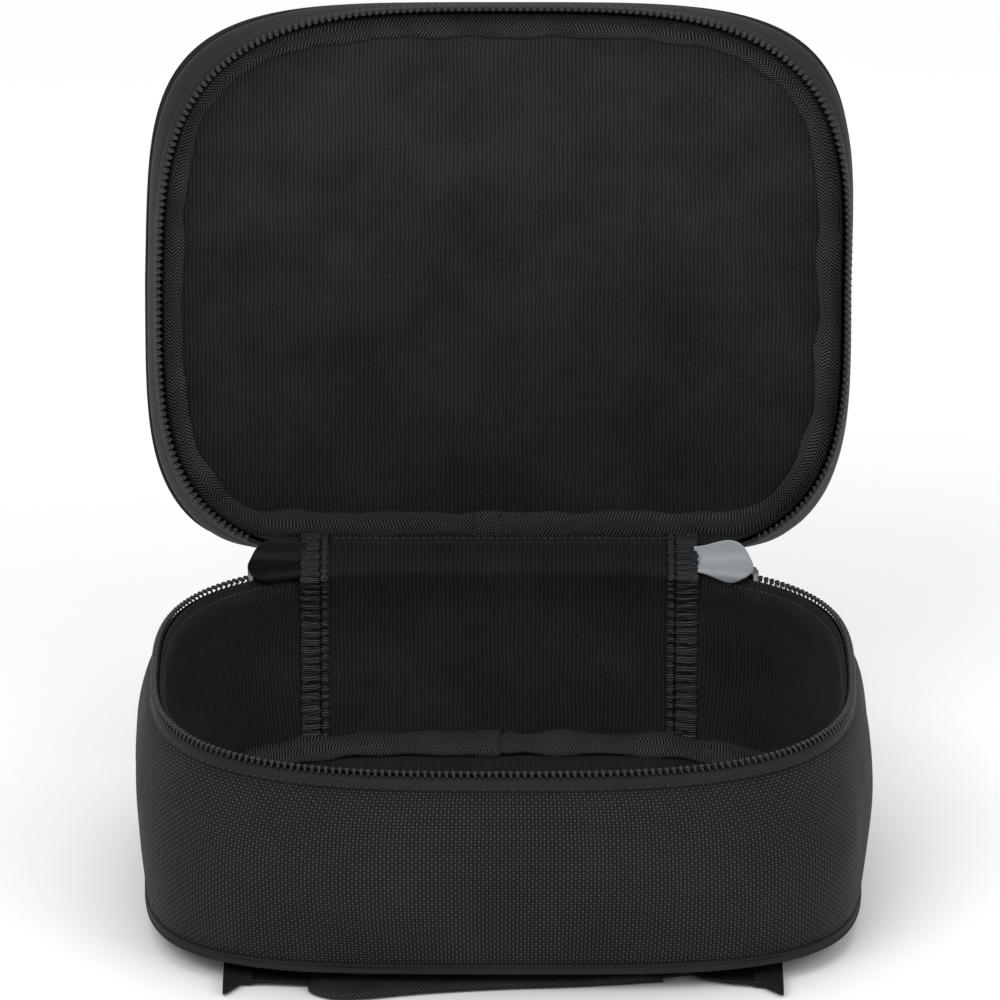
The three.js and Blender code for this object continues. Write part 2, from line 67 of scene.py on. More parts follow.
COIL_HALF = 1.4 * MM            # half the coil's width, as in the CAD solid
COIL_CLEAR = 0.3 * MM           # the coil's top edge to the parting plane
COIL_LOW, COIL_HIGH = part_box("base_zipper_coil")
RIM_Z = COIL_HIGH.z + COIL_CLEAR
RIM_A = (COIL_HIGH.x - COIL_LOW.x) / 2 - COIL_HALF
RIM_B = -COIL_LOW.y - COIL_HALF
BACK_Y = HINGE[1] - 0.4 * MM
WALL_LOW, WALL_HIGH = (p.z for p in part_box("base_wall"))
FLOOR_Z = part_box("base_floor_lining")[1].z
WELT_LOW, WELT_HIGH = (p.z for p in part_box("base_bottom_welt"))
LID_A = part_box("lid_zipper_coil")[1].x - COIL_HALF
LID_B = 87.6 * MM               # the lid outline's half depth, as in the CAD
LID_DEPTH = 18 * MM
LID_FRONT_TAPER = 2.9 * MM
LID_REAR_TAPER = 7.5 * MM
LID_SKEW = 1.7 * MM             # the soft lid leans a little to the left over its depth
LID_LEAN = 1.9 * MM             # and to the right towards its front edge
SEAM_X = 58.5 * MM
COIL_END_X = 79 * MM
TOOTH_PITCH = 2.12 * MM


@dataclass
class Outline:
    """A rounded outline: a superellipse cut straight along the hinge, which changes with the level.
    The level is the height on the base, and on the lid the depth above its mouth."""
    half_width: float
    half_depth: float
    front_taper: float = 0.0
    rear_taper: float = 0.0
    skew: float = 0.0
    lean: float = 0.0

    def back(self, offset, level):
        return BACK_Y + offset - self.rear_taper * level / LID_DEPTH

    def ring(self, angles, offset, level):
        """Plan points at these polar angles, offset outward from the zipper line."""
        level = np.asarray(level, float)
        rear = np.sin(angles) > 0
        front_n, rear_n = self.squareness(level)
        n = np.where(rear, rear_n, front_n)
        depth = self.half_depth + offset - np.where(rear, 0, self.front_taper * level / LID_DEPTH)
        along = np.abs(np.cos(angles)) / (self.half_width + offset)
        across = np.abs(np.sin(angles)) / depth
        radius = (along ** n + across ** n) ** (-1 / n)
        y = soft_min(radius * np.sin(angles), self.back(offset, level))
        lean = self.lean * np.clip(-y / self.half_depth, 0, 1)
        return radius * np.cos(angles) - self.skew * level / LID_DEPTH + lean, y

    def rear(self, x, offset, level):
        """The rear outline's y at x."""
        n = self.squareness(level)[1]
        part = np.clip(np.abs(x) / (self.half_width + offset), 0, 0.999)
        y = (self.half_depth + offset) * (1 - part ** n) ** (1 / n)
        return soft_min(y, self.back(offset, level))

    def rear_angle(self, x):
        n = self.squareness(RIM_Z if self is BASE else 0.0)[1]
        y = self.half_depth * (1 - (abs(x) / self.half_width) ** n) ** (1 / n)
        return math.atan2(y, x)


class BaseOutline(Outline):
    def squareness(self, level):
        return 3.0 + 1.1 * np.maximum(0, 1 - level / WALL_HIGH), 3.0


class LidOutline(Outline):
    def squareness(self, level):
        part = level / LID_DEPTH
        return 3.3 + 1.0 * part, 3.68 + 0.6 * part


def soft_min(y, limit, ease=1.2 * MM):
    return -ease * np.logaddexp(-y / ease, -limit / ease)


BASE = BaseOutline(RIM_A, RIM_B)
LID = LidOutline(LID_A, LID_B, LID_FRONT_TAPER, LID_REAR_TAPER, LID_SKEW, LID_LEAN)


def even_angles(shape, start, end, count, closed=False):
    """Polar angles that are evenly spaced along the outline, and the length up to each."""
    dense = np.linspace(start, end, 4001)
    length = run_length(np.stack(shape.ring(dense, 0.0, RIM_Z if shape is BASE else 0.0), 1))
    wanted = np.linspace(0, length[-1], count + 1 if closed else count)
    angles = np.interp(wanted, length, dense)
    return (angles[:-1] if closed else angles), wanted


def round_front(shape, x, count):
    """From the rear at -x, round the front, to the rear at +x."""
    end = shape.rear_angle(x)
    return even_angles(shape, math.pi - end, 2 * math.pi + end, count)


def all_round(shape, count):
    """The whole outline, starting at the middle of the hinge."""
    return even_angles(shape, math.pi / 2, 2.5 * math.pi, count, closed=True)


def open_lid(points):
    """Moves points from the closed lid to the pose at rest."""
    turned = np.array(points, float)
    y = turned[..., 1] - HINGE[1]
    z = turned[..., 2] - HINGE[2]
    c, s = math.cos(LID_OPEN), math.sin(LID_OPEN)
    turned[..., 1] = HINGE[1] + y * c + z * s
    turned[..., 2] = HINGE[2] - y * s + z * c
    return turned


def run_length(points):
    """The length along a line of points, up to each of them."""
    return np.concatenate([[0], np.cumsum(np.linalg.norm(np.diff(points, axis=0), axis=1))])


def pick(points, run, at):
    """The points at these lengths along a line, whose own points are at the lengths in run."""
    return np.stack([np.interp(at, run, points[:, k]) for k in range(points.shape[1])], 1)


def unit(vectors):
    return vectors / np.linalg.norm(vectors, axis=-1, keepdims=True)


def signed_power(values, power):
    return np.sign(values) * np.abs(values) ** power


# ---- Smooth random shapes, the same on each run ----

def ripple(values, wavelength, seed, terms=5):
    """A smooth one-dimensional noise between about -1 and 1."""
    rng = np.random.default_rng(seed)
    total = np.zeros_like(values, float)
    for _ in range(terms):
        scale = wavelength * rng.uniform(0.6, 1.6)
        total += np.sin(2 * math.pi * values / scale + rng.uniform(0, 2 * math.pi))
    return total / math.sqrt(terms * 2)


def ripple2(u, v, wavelength, seed, terms=9):
    """A smooth two-dimensional noise between about -1 and 1."""
    rng = np.random.default_rng(seed)
    total = np.zeros(np.broadcast(u, v).shape)
    for _ in range(terms):
        turn = rng.uniform(0, 2 * math.pi)
        scale = wavelength * rng.uniform(0.6, 1.7)
        phase = rng.uniform(0, 2 * math.pi)
        total += np.sin(2 * math.pi * (u * math.cos(turn) + v * math.sin(turn)) / scale + phase)
    return total / math.sqrt(terms * 2)


def bump(values, centre, width):
    return np.exp(-(((values - centre) / width) ** 2))


# ---- Meshes ----

def add_object(name, data):
    obj = bpy.data.objects.new(name, data)
    bpy.context.scene.collection.objects.link(obj)
    return obj


def new_object(name, verts, faces, uvs=None):
    mesh = bpy.data.meshes.new(name)
    mesh.from_pydata([tuple(v) for v in verts], [], [tuple(f) for f in faces])
    if uvs is not None:
        layer = mesh.uv_layers.new(name="cloth")
        layer.data.foreach_set("uv", np.asarray(uvs, np.float32).ravel())
    bm = bmesh.new()
    bm.from_mesh(mesh)
    bmesh.ops.recalc_face_normals(bm, faces=bm.faces)
    bm.to_mesh(mesh)
    bm.free()
    mesh.shade_smooth()
    return add_object(name, mesh)


def flat_mapped(name, verts, faces):
    """A mesh whose cloth coordinates are its own x and y."""
    return new_object(name, verts, faces, [verts[k][:2] for face in faces for k in face])


def grid(name, points, u, v, wrap_u=False):
    """A surface through points[i, j] whose sections close, with u[i], v[j] in metres as its cloth
    coordinates. Open ends are closed by quads across the section."""
    n, m = points.shape[:2]
    index = np.arange(n * m).reshape(n, m)
    i, j = (k.ravel() for k in np.indices((n if wrap_u else n - 1, m)))
    far = (i + 1) % n
    side = (j + 1) % m
    faces = [np.stack([index[i, j], index[far, j], index[far, side], index[i, side]], 1)]
    uvs = [np.stack([u[i], v[j], u[i + 1], v[j], u[i + 1], v[j + 1], u[i], v[j + 1]], 1)]
    if not wrap_u:
        k = np.arange(m // 2 - 1)
        corners = np.stack([k, k + 1, m - 2 - k, m - 1 - k], 1)
        for row, length in ((0, u[0]), (n - 1, u[-1])):
            faces.append(index[row, corners])
            along = np.full(corners.shape, length)
            uvs.append(np.stack([along, v[corners]], 2).reshape(len(k), 8))
    return new_object(name, points.reshape(-1, 3), np.concatenate(faces), np.concatenate(uvs))


def tube_faces(rings, sides, start=0):
    """The faces of a tube whose points run ring by ring, closed at both ends."""
    index = start + np.arange(rings * sides).reshape(rings, sides)
    ahead = np.roll(index, -1, axis=1)
    faces = [(index[i, j], index[i + 1, j], ahead[i + 1, j], ahead[i, j])
             for i in range(rings - 1) for j in range(sides)]
    return faces + [tuple(index[0]), tuple(index[-1][::-1])]


def tape_section(line, half):
    """A closed section round an open line in (offset, height), half thick on each side, round ends."""
    line = np.asarray(line, float)
    run = unit(np.gradient(line, axis=0))
    side = np.stack([run[:, 1], -run[:, 0]], 1)
    turns = np.array([math.pi / 3, 2 * math.pi / 3])[:, None]
    end = line[-1] + half * (side[-1] * np.cos(turns) + run[-1] * np.sin(turns))
    start = line[0] - half * (side[0] * np.cos(turns) + run[0] * np.sin(turns))
    loop = np.concatenate([line + side * half, end, (line - side * half)[::-1], start])
    return np.roll(loop, 1, axis=0)


def curve_through(points, count):
    """count points evenly along a smooth curve through these points."""
    p = np.asarray(points, float)
    q = np.concatenate([[2 * p[0] - p[1]], p, [2 * p[-1] - p[-2]]])
    fine = []
    for k in range(len(p) - 1):
        t = np.linspace(0, 1, 20, endpoint=False)[:, None]
        a, b, c, d = q[k], q[k + 1], q[k + 2], q[k + 3]
        fine.append(0.5 * (2 * b + (c - a) * t + (2 * a - 5 * b + 4 * c - d) * t ** 2
                           + (3 * b - a - 3 * c + d) * t ** 3))
    fine = np.concatenate(fine + [p[-1:]])
    length = run_length(fine)
    return pick(fine, length, np.linspace(0, length[-1], count))


def section_lengths(section):
    return run_length(np.concatenate([section, section[:1]]))


def sweep(name, shape, section, track, wrap=False, shift=None):
    """A section in millimetres, (offset, height), carried along the outline.
    shift(length, offset, height) returns what to add to the offset and height of each point."""
    angles, length = track
    section = np.asarray(section, float) * MM
    n, m = len(angles), len(section)
    offset, height = (np.broadcast_to(k, (n, m)).copy() for k in section.T)
    if shift is not None:
        more_offset, more_height = shift(length[:n, None], offset, height)
        offset = offset + more_offset
        height = height + more_height
    x, y = shape.ring(angles[:, None], offset, height)
    z = height + RIM_Z if shape is LID else height
    points = np.stack([x, y, z], -1)
    if shape is LID:
        points = open_lid(points)
    u = length if wrap else np.concatenate([length, length[-1:]])
    return grid(name, points, u, section_lengths(section), wrap_u=wrap)


def finish_piece(obj, body, material, slot, *nodes):
    obj.data.materials.clear()
    obj.data.materials.append(material)
    if nodes:
        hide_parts(*nodes)
    if body:
        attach(obj, body)
    return obj


# ---- Material building ----

class Nodes:
    """A small helper that adds math nodes to one material."""

    def __init__(self, name):
        self.material = bpy.data.materials.new(name)
        self.material.use_nodes = True
        self.tree = self.material.node_tree
        self.shader = self.tree.nodes["Principled BSDF"]

    def add(self, kind, **inputs):
        node = self.tree.nodes.new(kind)
        for key, value in inputs.items():
            self.feed(node.inputs[key.replace("_", " ")], value)
        return node

    def feed(self, socket, value):
        if isinstance(value, bpy.types.NodeSocket):
            self.tree.links.new(value, socket)
        else:
            socket.default_value = value

    def math(self, operation, *values, kind="ShaderNodeMath"):
        node = self.tree.nodes.new(kind)
        node.operation = operation
        for socket, value in zip(node.inputs, values):
            self.feed(socket, value)
        return node.outputs[0]

    def times(self, a, b):
        return self.math("MULTIPLY", a, b)

    def plus(self, a, b):
        return self.math("ADD", a, b)

    def power(self, value, exponent):
        return self.math("POWER", value, exponent)

    def scaled(self, value, factor, start):
        return self.math("MULTIPLY_ADD", value, factor, start)

    def cloth(self):
        """The piece's cloth coordinates in metres, as (along, across)."""
        node = self.tree.nodes.new("ShaderNodeUVMap")
        node.uv_map = "cloth"
        split = self.add("ShaderNodeSeparateXYZ", Vector=node.outputs[0])
        return split.outputs[0], split.outputs[1]

    def spot(self):
        """The point's place in the row frame in metres, as a vector."""
        return self.tree.nodes.new("ShaderNodeTexCoord").outputs["Object"]

    def place(self):
        """The same, as (x, y, z)."""
        split = self.add("ShaderNodeSeparateXYZ", Vector=self.spot())
        return split.outputs[0], split.outputs[1], split.outputs[2]

    def vector(self, x, y):
        return self.add("ShaderNodeCombineXYZ", X=x, Y=y).outputs[0]

    def noise(self, where, scale, detail=3.0, roughness=0.55):
        """Noise at a vector, or at a pair of cloth coordinates."""
        if isinstance(where, tuple):
            where = self.vector(*where)
        node = self.add("ShaderNodeTexNoise", Scale=scale, Detail=detail, Roughness=roughness, Vector=where)
        return node.outputs[0]

    def wave(self, value, pitch, phase=0.0):
        """0 to 1 to 0 over each pitch, as a smooth ridge."""
        turned = self.scaled(value, 2 * math.pi / pitch, phase)
        return self.scaled(self.math("COSINE", turned), 0.5, 0.5)

    def zigzag(self, value, pitch):
        """A triangle wave between 0 and half a pitch."""
        return self.math("PINGPONG", value, pitch / 2)

    def product(self, colour, factor):
        return self.math("MULTIPLY", colour, factor, kind="ShaderNodeVectorMath")

    def ramp(self, value, stops):
        node = self.tree.nodes.new("ShaderNodeValToRGB")
        self.feed(node.inputs[0], value)
        ramp = node.color_ramp
        while len(ramp.elements) < len(stops):
            ramp.elements.new(0.5)
        for element, (place, colour) in zip(ramp.elements, stops):
            element.position = place
            element.color = (*colour, 1.0)
        return node.outputs[0]

    def painted_shade_by_height(self, colour, painted_shade_stops):
        """Painted shade and light: multiplies the colour by a tone for each height, given in millimetres above
        the floor; tones under 1 paint shade, tones over 1 paint light.
        """
        level = self.math("DIVIDE", self.place()[2], 0.25)
        fade = self.ramp(level, [(at / 250, (tone, tone, tone)) for at, tone in painted_shade_stops])
        return self.product(colour, fade)

    def relief(self, height, depth):
        """depth is how far, in metres, the relief rises over height 0 to 1."""
        node = self.add("ShaderNodeBump", Height=height, Distance=depth, Strength=1.0)
        self.tree.links.new(node.outputs[0], self.shader.inputs["Normal"])

    def look(self, colour, roughness, specular=0.3, sheen=0.0, metallic=0.0):
        self.feed(self.shader.inputs["Base Color"], colour)
        self.feed(self.shader.inputs["Roughness"], roughness)
        plain = {"Specular IOR Level": specular, "Metallic": metallic, "Sheen Weight": sheen}
        for name, value in plain.items():
            self.shader.inputs[name].default_value = value
        return self.material


def shade(grey, lift=1.0):
    """A slightly blue neutral, as linear red, green and blue."""
    return (grey * lift * 0.94, grey * lift, grey * lift * 1.07)


def weave_material():
    """Coarse basket weave: over-and-under pairs of thick yarns."""
    m = Nodes("coarse_nylon_weave")
    u, v = m.cloth()
    cell_u, cell_v = 2.17 * MM, 1.83 * MM
    wander = m.noise((u, v), 60.0, 2.0)
    u = m.scaled(wander, 0.5 * MM, u)
    column = m.math("FLOOR", m.math("DIVIDE", u, cell_u / 2))
    row = m.math("FLOOR", m.math("DIVIDE", v, cell_v / 2))
    over = m.math("MODULO", m.math("ABSOLUTE", m.plus(column, row)), 2.0)
    across = m.wave(u, cell_u / 2, math.pi)
    along = m.wave(v, cell_v / 2, math.pi)
    warp = m.times(m.power(across, 0.5), m.scaled(along, 0.6, 0.4))
    weft = m.times(m.power(along, 0.5), m.scaled(across, 0.6, 0.4))
    under = m.math("SUBTRACT", 1.0, over)
    yarn = m.plus(m.times(warp, over), m.times(m.times(weft, under), 0.62))
    fibre = m.noise((u, v), 2600.0, 2.0)
    height = m.scaled(fibre, 0.25, yarn)
    m.relief(height, 0.42 * MM)
    patch = m.noise((u, v), 22.0, 3.0)
    tone = m.scaled(patch, 0.25, yarn)
    colour = m.ramp(tone, [(0.15, shade(0.002)), (0.6, shade(0.0145)), (1.05, shade(0.062))])
    rough = m.scaled(yarn, -0.25, 0.72)
    return m.look(colour, rough, specular=0.14)


def smooth_material(name, grey, chevrons=True):
    """Smooth woven tape with fine slanted threads."""
    m = Nodes(name)
    u, v = m.cloth()
    lean = m.zigzag(v, 4.4 * MM) if chevrons else m.times(v, 0.6)
    thread = m.wave(m.plus(u, lean), 0.62 * MM)
    weft = m.wave(v, 0.42 * MM)
    cloth = m.plus(m.times(thread, 0.7), m.times(weft, 0.3))
    m.relief(cloth, 0.05 * MM)
    patch = m.noise((u, v), 35.0, 3.0)
    tone = m.scaled(cloth, 0.3, m.times(patch, 0.7))
    colour = m.ramp(tone, [(0.2, shade(grey, 0.75)), (0.8, shade(grey, 1.25))])
    return m.look(colour, 0.55, specular=0.14)


def knit_material(name, grey, painted_shade_stops, along_x=False):
    """Ribbed knit lining: fine ribs, each a column of small loops."""
    m = Nodes(name)
    if along_x:
        u, v, depth = m.place()
        v = m.plus(v, depth)
    else:
        u, v = m.cloth()
    rib_pitch = 1.27 * MM
    wander = m.noise((u, v), 45.0, 2.0)
    across = m.scaled(wander, 1.6 * MM, u)
    rib = m.power(m.wave(across, rib_pitch), 0.7)
    loops = m.wave(m.plus(v, m.zigzag(across, rib_pitch)), 1.05 * MM)
    knit = m.plus(m.times(rib, 0.75), m.times(loops, 0.25))
    fuzz = m.noise((u, v), 1500.0, 3.0)
    height = m.scaled(fuzz, 0.5, knit)
    m.relief(height, 0.16 * MM)
    patch = m.noise((u, v), 30.0, 4.0, 0.65)
    tone = m.plus(m.times(knit, 0.36), m.times(patch, 0.5))
    tone = m.scaled(fuzz, 0.42, tone)
    colour = m.ramp(tone, [(0.3, shade(grey, 0.35)), (0.55, shade(grey, 0.9)), (0.85, shade(grey, 2.0))])
    # The colour is then darkened by height as painted shade, with the stops given for this lining.
    return m.look(m.painted_shade_by_height(colour, painted_shade_stops), 0.95, specular=0.06, sheen=0.03)


def twill_material(name, grey, band=4.0 * MM, pitch=1.15 * MM):
    """Herringbone twill tape: slanted ridges that turn back at each band."""
    m = Nodes(name)
    u, v = m.cloth()
    slant = m.plus(u, m.zigzag(v, band))
    ridge = m.wave(slant, pitch)
    thread = m.wave(v, 0.5 * MM)
    cloth = m.times(m.power(ridge, 0.8), m.scaled(thread, 0.45, 0.55))
    m.relief(cloth, 0.22 * MM)
    patch = m.noise((u, v), 60.0, 3.0)
    tone = m.scaled(patch, 0.3, cloth)
    colour = m.ramp(tone, [(0.2, shade(grey, 0.08)), (0.6, shade(grey, 0.6)), (0.98, shade(grey, 9.0))])
    # Painted shade: the floor binding and the handle sleeve are darker low down, and so is the lid binding's
    # lower part, between 74 and 88 mm.
    painted_shade_stops = [(1, 0.6), (9, 1.0), (74, 0.55), (88, 0.55), (100, 1.0)]
    return m.look(m.painted_shade_by_height(colour, painted_shade_stops), 0.55, specular=0.13)


def ruched_material():
    """Gathered elastic tape: fine cross ribs, with a painted highlight on their tops and painted shade above
    the fold.
    """
    m = Nodes("ruched_seam_tape")
    u, v = m.cloth()
    wander = m.noise((u, v), 160.0, 2.0)
    line = m.scaled(wander, 1.6 * MM, v)
    rib = m.wave(line, 0.85 * MM)
    thread = m.wave(u, 0.55 * MM)
    cloth = m.times(rib, m.scaled(thread, 0.35, 0.65))
    m.relief(cloth, 0.2 * MM)
    # Painted highlight: the colour follows the relief, so the rib tops are painted lighter than the hollows.
    colour = m.ramp(cloth, [(0.1, shade(0.006)), (0.55, shade(0.034)), (0.95, shade(0.12))])
    # Painted shade: the tape darkens above the fold at 66 mm.
    return m.look(m.painted_shade_by_height(colour, [(66, 1.0), (71, 0.5), (80, 0.45)]), 0.55, specular=0.14)


def coil_material():
    m = Nodes("glossy_coil_nylon")
    spot = m.spot()
    speck = m.noise(spot, 900.0, 2.0)
    colour = m.ramp(speck, [(0.3, shade(0.006)), (0.8, shade(0.016))])
    rough = m.scaled(speck, 0.15, 0.2)
    return m.look(colour, rough, specular=0.42)


def thread_material(name, grey):
    m = Nodes(name)
    spot = m.spot()
    twist = m.noise(spot, 2200.0, 2.0)
    m.relief(twist, 0.05 * MM)
    colour = m.ramp(twist, [(0.3, shade(grey, 0.4)), (0.8, shade(grey, 1.3))])
    return m.look(colour, 0.5, specular=0.4)


def satin_material(name, dark, light, roughness, specular):
    """Coated tab: a fine grain, a little worn at random."""
    m = Nodes(name)
    spot = m.spot()
    grain = m.noise(spot, 1400.0, 3.0)
    m.relief(grain, 0.03 * MM)
    patch = m.noise(spot, 120.0, 4.0)
    tone = m.scaled(grain, 0.3, m.times(patch, 0.7))
    colour = m.ramp(tone, [(0.3, dark), (0.7, light)])
    rough = m.scaled(patch, 0.2, roughness)
    return m.look(colour, rough, specular=specular)


def webbing_material():
    m = Nodes("ribbed_webbing")
    u, v = m.cloth()
    ridge = m.wave(v, 1.3 * MM)
    weft = m.wave(m.plus(u, m.zigzag(v, 1.3 * MM)), 0.7 * MM)
    cloth = m.plus(m.times(ridge, 0.6), m.times(weft, 0.4))
    m.relief(cloth, 0.14 * MM)
    colour = m.ramp(cloth, [(0.1, shade(0.003)), (0.9, shade(0.016))])
    return m.look(colour, 0.65, specular=0.12)


def metal_material():
    m = Nodes("satin_gunmetal")
    spot = m.spot()
    grain = m.noise(spot, 700.0, 4.0)
    m.relief(grain, 0.01 * MM)
    wear = m.noise(spot, 260.0, 4.0)
    colour = m.ramp(wear, [(0.35, (0.1, 0.104, 0.11)), (0.75, (0.2, 0.205, 0.215))])
    rough = m.scaled(grain, 0.25, 0.24)
    return m.look(colour, rough, specular=0.5, metallic=1.0)


WEAVE = weave_material()
SMOOTH = smooth_material("smooth_zipper_tape", 0.014)
GUSSET = smooth_material("smooth_gusset", 0.0155, chevrons=False)
# Painted shade: the lining is a little darker near the floor, a touch lighter from 50 to 66 mm, and much
# darker above the fold at 66 mm, on into the lid.
LINING = knit_material("ribbed_lining", 0.0158,
                       [(10, 0.88), (50, 1.05), (66, 1.05), (69, 0.6), (73, 0.42), (78, 0.36)])
# Painted shade: the lid lining darkens from 1.05 at its top edge to 0.45 low down, and the floor pad stays at
# 0.45.
FLAT_LINING = knit_material("ribbed_pad_lining", 0.017, [(62, 0.45), (150, 0.72), (238, 1.05)], along_x=True)
TWILL = twill_material("herringbone_binding", 0.011)
RUCHED = ruched_material()
COIL = coil_material()
THREAD = thread_material("sewing_thread", 0.05)
DARK_THREAD = thread_material("dark_sewing_thread", 0.014)
BLACK_TAB = satin_material("black_tab_coating", shade(0.003), shade(0.0055), 0.42, 0.12)
GREY_TAB = satin_material("grey_tab_coating", (0.25, 0.272, 0.283), (0.3, 0.325, 0.338), 0.5, 0.2)
WEBBING = webbing_material()
METAL = metal_material()


# ---- The base's shell ----

WALL_TOP_MM = WALL_HIGH / MM
WALL_BOTTOM_MM = WALL_LOW / MM
RIM_MM = RIM_Z / MM


def wall_offset(z):
    """How far the wall's outer face stands out from the zipper line, in millimetres."""
    k = (z - WALL_BOTTOM_MM) / (WALL_TOP_MM - WALL_BOTTOM_MM)
    above = 1.2 * (RIM_MM - z) / (RIM_MM - WALL_TOP_MM)
    swell = np.abs(np.sin(math.pi * np.clip(k, 0, 1) ** 1.5)) ** 0.6
    return np.where(k > 1, above, 2.8 - 1.6 * k + 4.2 * swell)


def wall_line(low, high, depth, count):
    z = np.linspace(low, high, count)
    return np.stack([wall_offset(z) - depth, z], 1)


def slack(length, offset, height):
    """Soft dents and creases in the standing wall, fading towards its sewn edges."""
    k = np.clip((height - WALL_LOW) / (WALL_HIGH - WALL_LOW), 0, 1)
    free = np.sin(math.pi * k) ** 0.7
    dents = 0.55 * ripple2(length, height, 90 * MM, 11) + 0.22 * ripple2(length, height, 32 * MM, 12)
    ends = length.max()
    for place, width, depth in ((0.72, 9, -0.7), (0.765, 6, 0.5), (0.81, 8, -0.6), (0.27, 12, -0.5)):
        lean = (height - WALL_LOW) * 0.12
        dents = dents + depth * bump(length, ends * place + lean, width * MM)
    return dents * free * MM, 0.0


def base_wall():
    line = wall_line(WALL_BOTTOM_MM, WALL_TOP_MM, 0.6, 26)
    track = round_front(BASE, SEAM_X, 340)
    obj = sweep("case_wall", BASE, tape_section(line, 0.6), track, shift=slack)
    finish_piece(obj, "base", WEAVE, "nylon_weave", "base_wall")


def wall_lining():
    line = np.concatenate([
        wall_line(WALL_BOTTOM_MM + 0.6, WALL_TOP_MM - 2.5, 5.25, 22),
        [[-2.9, WALL_TOP_MM + 1.4], [-2.3, RIM_MM - 3.4], [-1.9, RIM_MM - 1.9]],
    ])

    def padding(length, offset, height):
        k = np.clip((height - WALL_LOW) / (WALL_HIGH - WALL_LOW), 0, 1)
        free = np.sin(math.pi * k)
        soft = 0.35 * ripple2(length, height, 60 * MM, 21) + 0.2 * ripple2(length, height, 25 * MM, 22)
        return (np.minimum(soft, 0.25) - 0.25) * free * MM, 0.0

    obj = sweep("wall_lining", BASE, tape_section(line, 0.42), round_front(BASE, SEAM_X, 260),
                shift=padding)
    finish_piece(obj, "base", LINING, "knit_lining", "base_wall_lining", "base_wall_foam")


def welt(name, shape, low, high, outer, body, node):
    """Flat piping between two sewn edges, which stand a little prouder than its middle."""
    middle = (low + high) / 2
    half = (high - low) / 2
    section = [(outer + out, middle + half * up) for out, up in (
        (-2.4, -0.6), (-1.2, -1.0), (-0.35, -0.97), (0.0, -0.8), (-0.1, -0.62), (-0.45, -0.5),
        (-0.3, 0.0), (-0.45, 0.5), (-0.1, 0.62), (0.0, 0.8), (-0.35, 0.97), (-1.2, 1.0),
        (-2.4, 0.6), (-2.6, 0.0),
    )]
    obj = sweep(name, shape, section, all_round(shape, 320), wrap=True)
    finish_piece(obj, body, SMOOTH, "smooth_tape", node)


def zipper_tape(name, shape, body, node, outline):
    """The smooth band between the cloth and the teeth, with a faint bump at each tooth."""
    line = curve_through(outline, 12)
    track = round_front(shape, SEAM_X, 1240)
    high = line[:, 1].max() if shape is BASE else line[:, 1].min()

    def teeth(length, offset, height):
        near = bump(height, high * MM, 1.5 * MM)
        return 0.09 * MM * near * np.cos(2 * math.pi * length / TOOTH_PITCH), 0.0

    obj = sweep(name, shape, tape_section(line, 0.5), track, shift=teeth)
    finish_piece(obj, body, SMOOTH, "smooth_tape", node)


def tooth():
    """One turn of the coil, in millimetres: (along, out, up) points in rings, from its root, over a
    flattened ring-shaped head, to its other root."""
    turn = np.linspace(-0.3, 1.3, 9)[:, None] * math.pi
    c, s = np.cos(turn), np.sin(turn)
    head = np.clip(s, 0, 1) ** 2
    up = np.where(s > 0, 0.42 * s ** 2 - 0.12 * head ** 6, 1.1 * s)
    around = np.linspace(0, 2 * math.pi, 8, endpoint=False)
    wide = (0.36 + 0.34 * head) * np.cos(around)
    thick = (0.36 - 0.05 * head) * np.sin(around)
    return np.stack([0.22 * c + wide, c + thick * c, up + thick * s], -1)


def bead():
    """The widened eye on a turn's head: a small ring with a sunk middle, as (along, out, up)."""
    around = np.linspace(0, 2 * math.pi, 10, endpoint=False)
    profile = [(0.12, 0.42), (0.42, 0.74), (0.72, 0.72), (0.86, 0.42), (0.7, 0.1), (0.12, 0.1)]
    return np.array([[(0.98 * r * math.cos(a), 1.12 * r * math.sin(a), z) for a in around]
                     for r, z in profile])


def coil(name, shape, body, node):
    """The row of nylon teeth. Each is a turn of the coil with its eye facing the parting plane."""
    end = shape.rear_angle(COIL_END_X)
    angles, length = even_angles(shape, math.pi - end, 2 * math.pi + end, 1201)
    teeth = int(length[-1] / TOOTH_PITCH)
    centres = (np.arange(teeth) + 0.5) * length[-1] / teeth
    at = np.interp(centres, length, angles)
    level = 0.0 if shape is LID else RIM_Z
    x, y = shape.ring(at, 0.0, level)
    x1, y1 = shape.ring(at + 1e-3, 0.0, level)
    tangent = unit(np.stack([x1 - x, y1 - y, np.zeros(teeth)], 1))
    out = np.stack([tangent[:, 1], -tangent[:, 0], np.zeros(teeth)], 1)
    origin = np.stack([x, y, np.zeros(teeth)], 1)
    verts, faces = [], []
    for part, sink in ((tooth(), 1.25), (bead(), 1.0)):
        rings, sides = part.shape[:2]
        along, across, up = (part.reshape(-1, 3) * MM).T
        points = (origin[:, None] + tangent[:, None] * along[None, :, None]
                  + out[:, None] * across[None, :, None])
        height = sink * MM - up
        points[..., 2] = RIM_Z + (height if shape is LID else -height)
        start = sum(len(v) for v in verts)
        verts.append((open_lid(points) if shape is LID else points).reshape(-1, 3))
        for k in range(teeth):
            faces += tube_faces(rings, sides, start + k * rings * sides)
    obj = new_object(name, np.concatenate(verts), faces)
    finish_piece(obj, body, COIL, "zipper_coil", node)


def line_on(shape, offset, height, angles):
    """Points and outward directions along the outline, in millimetres from the zipper line."""
    x, y = shape.ring(angles, offset * MM, height * MM)
    z = np.full(len(x), height * MM + (RIM_Z if shape is LID else 0))
    points = np.stack([x, y, z], 1)
    run = np.gradient(points, axis=0)
    out = unit(np.stack([run[:, 1], -run[:, 0], np.zeros(len(x))], 1))
    if shape is LID:
        return open_lid(points), open_lid(points + out) - open_lid(points)
    return points, out


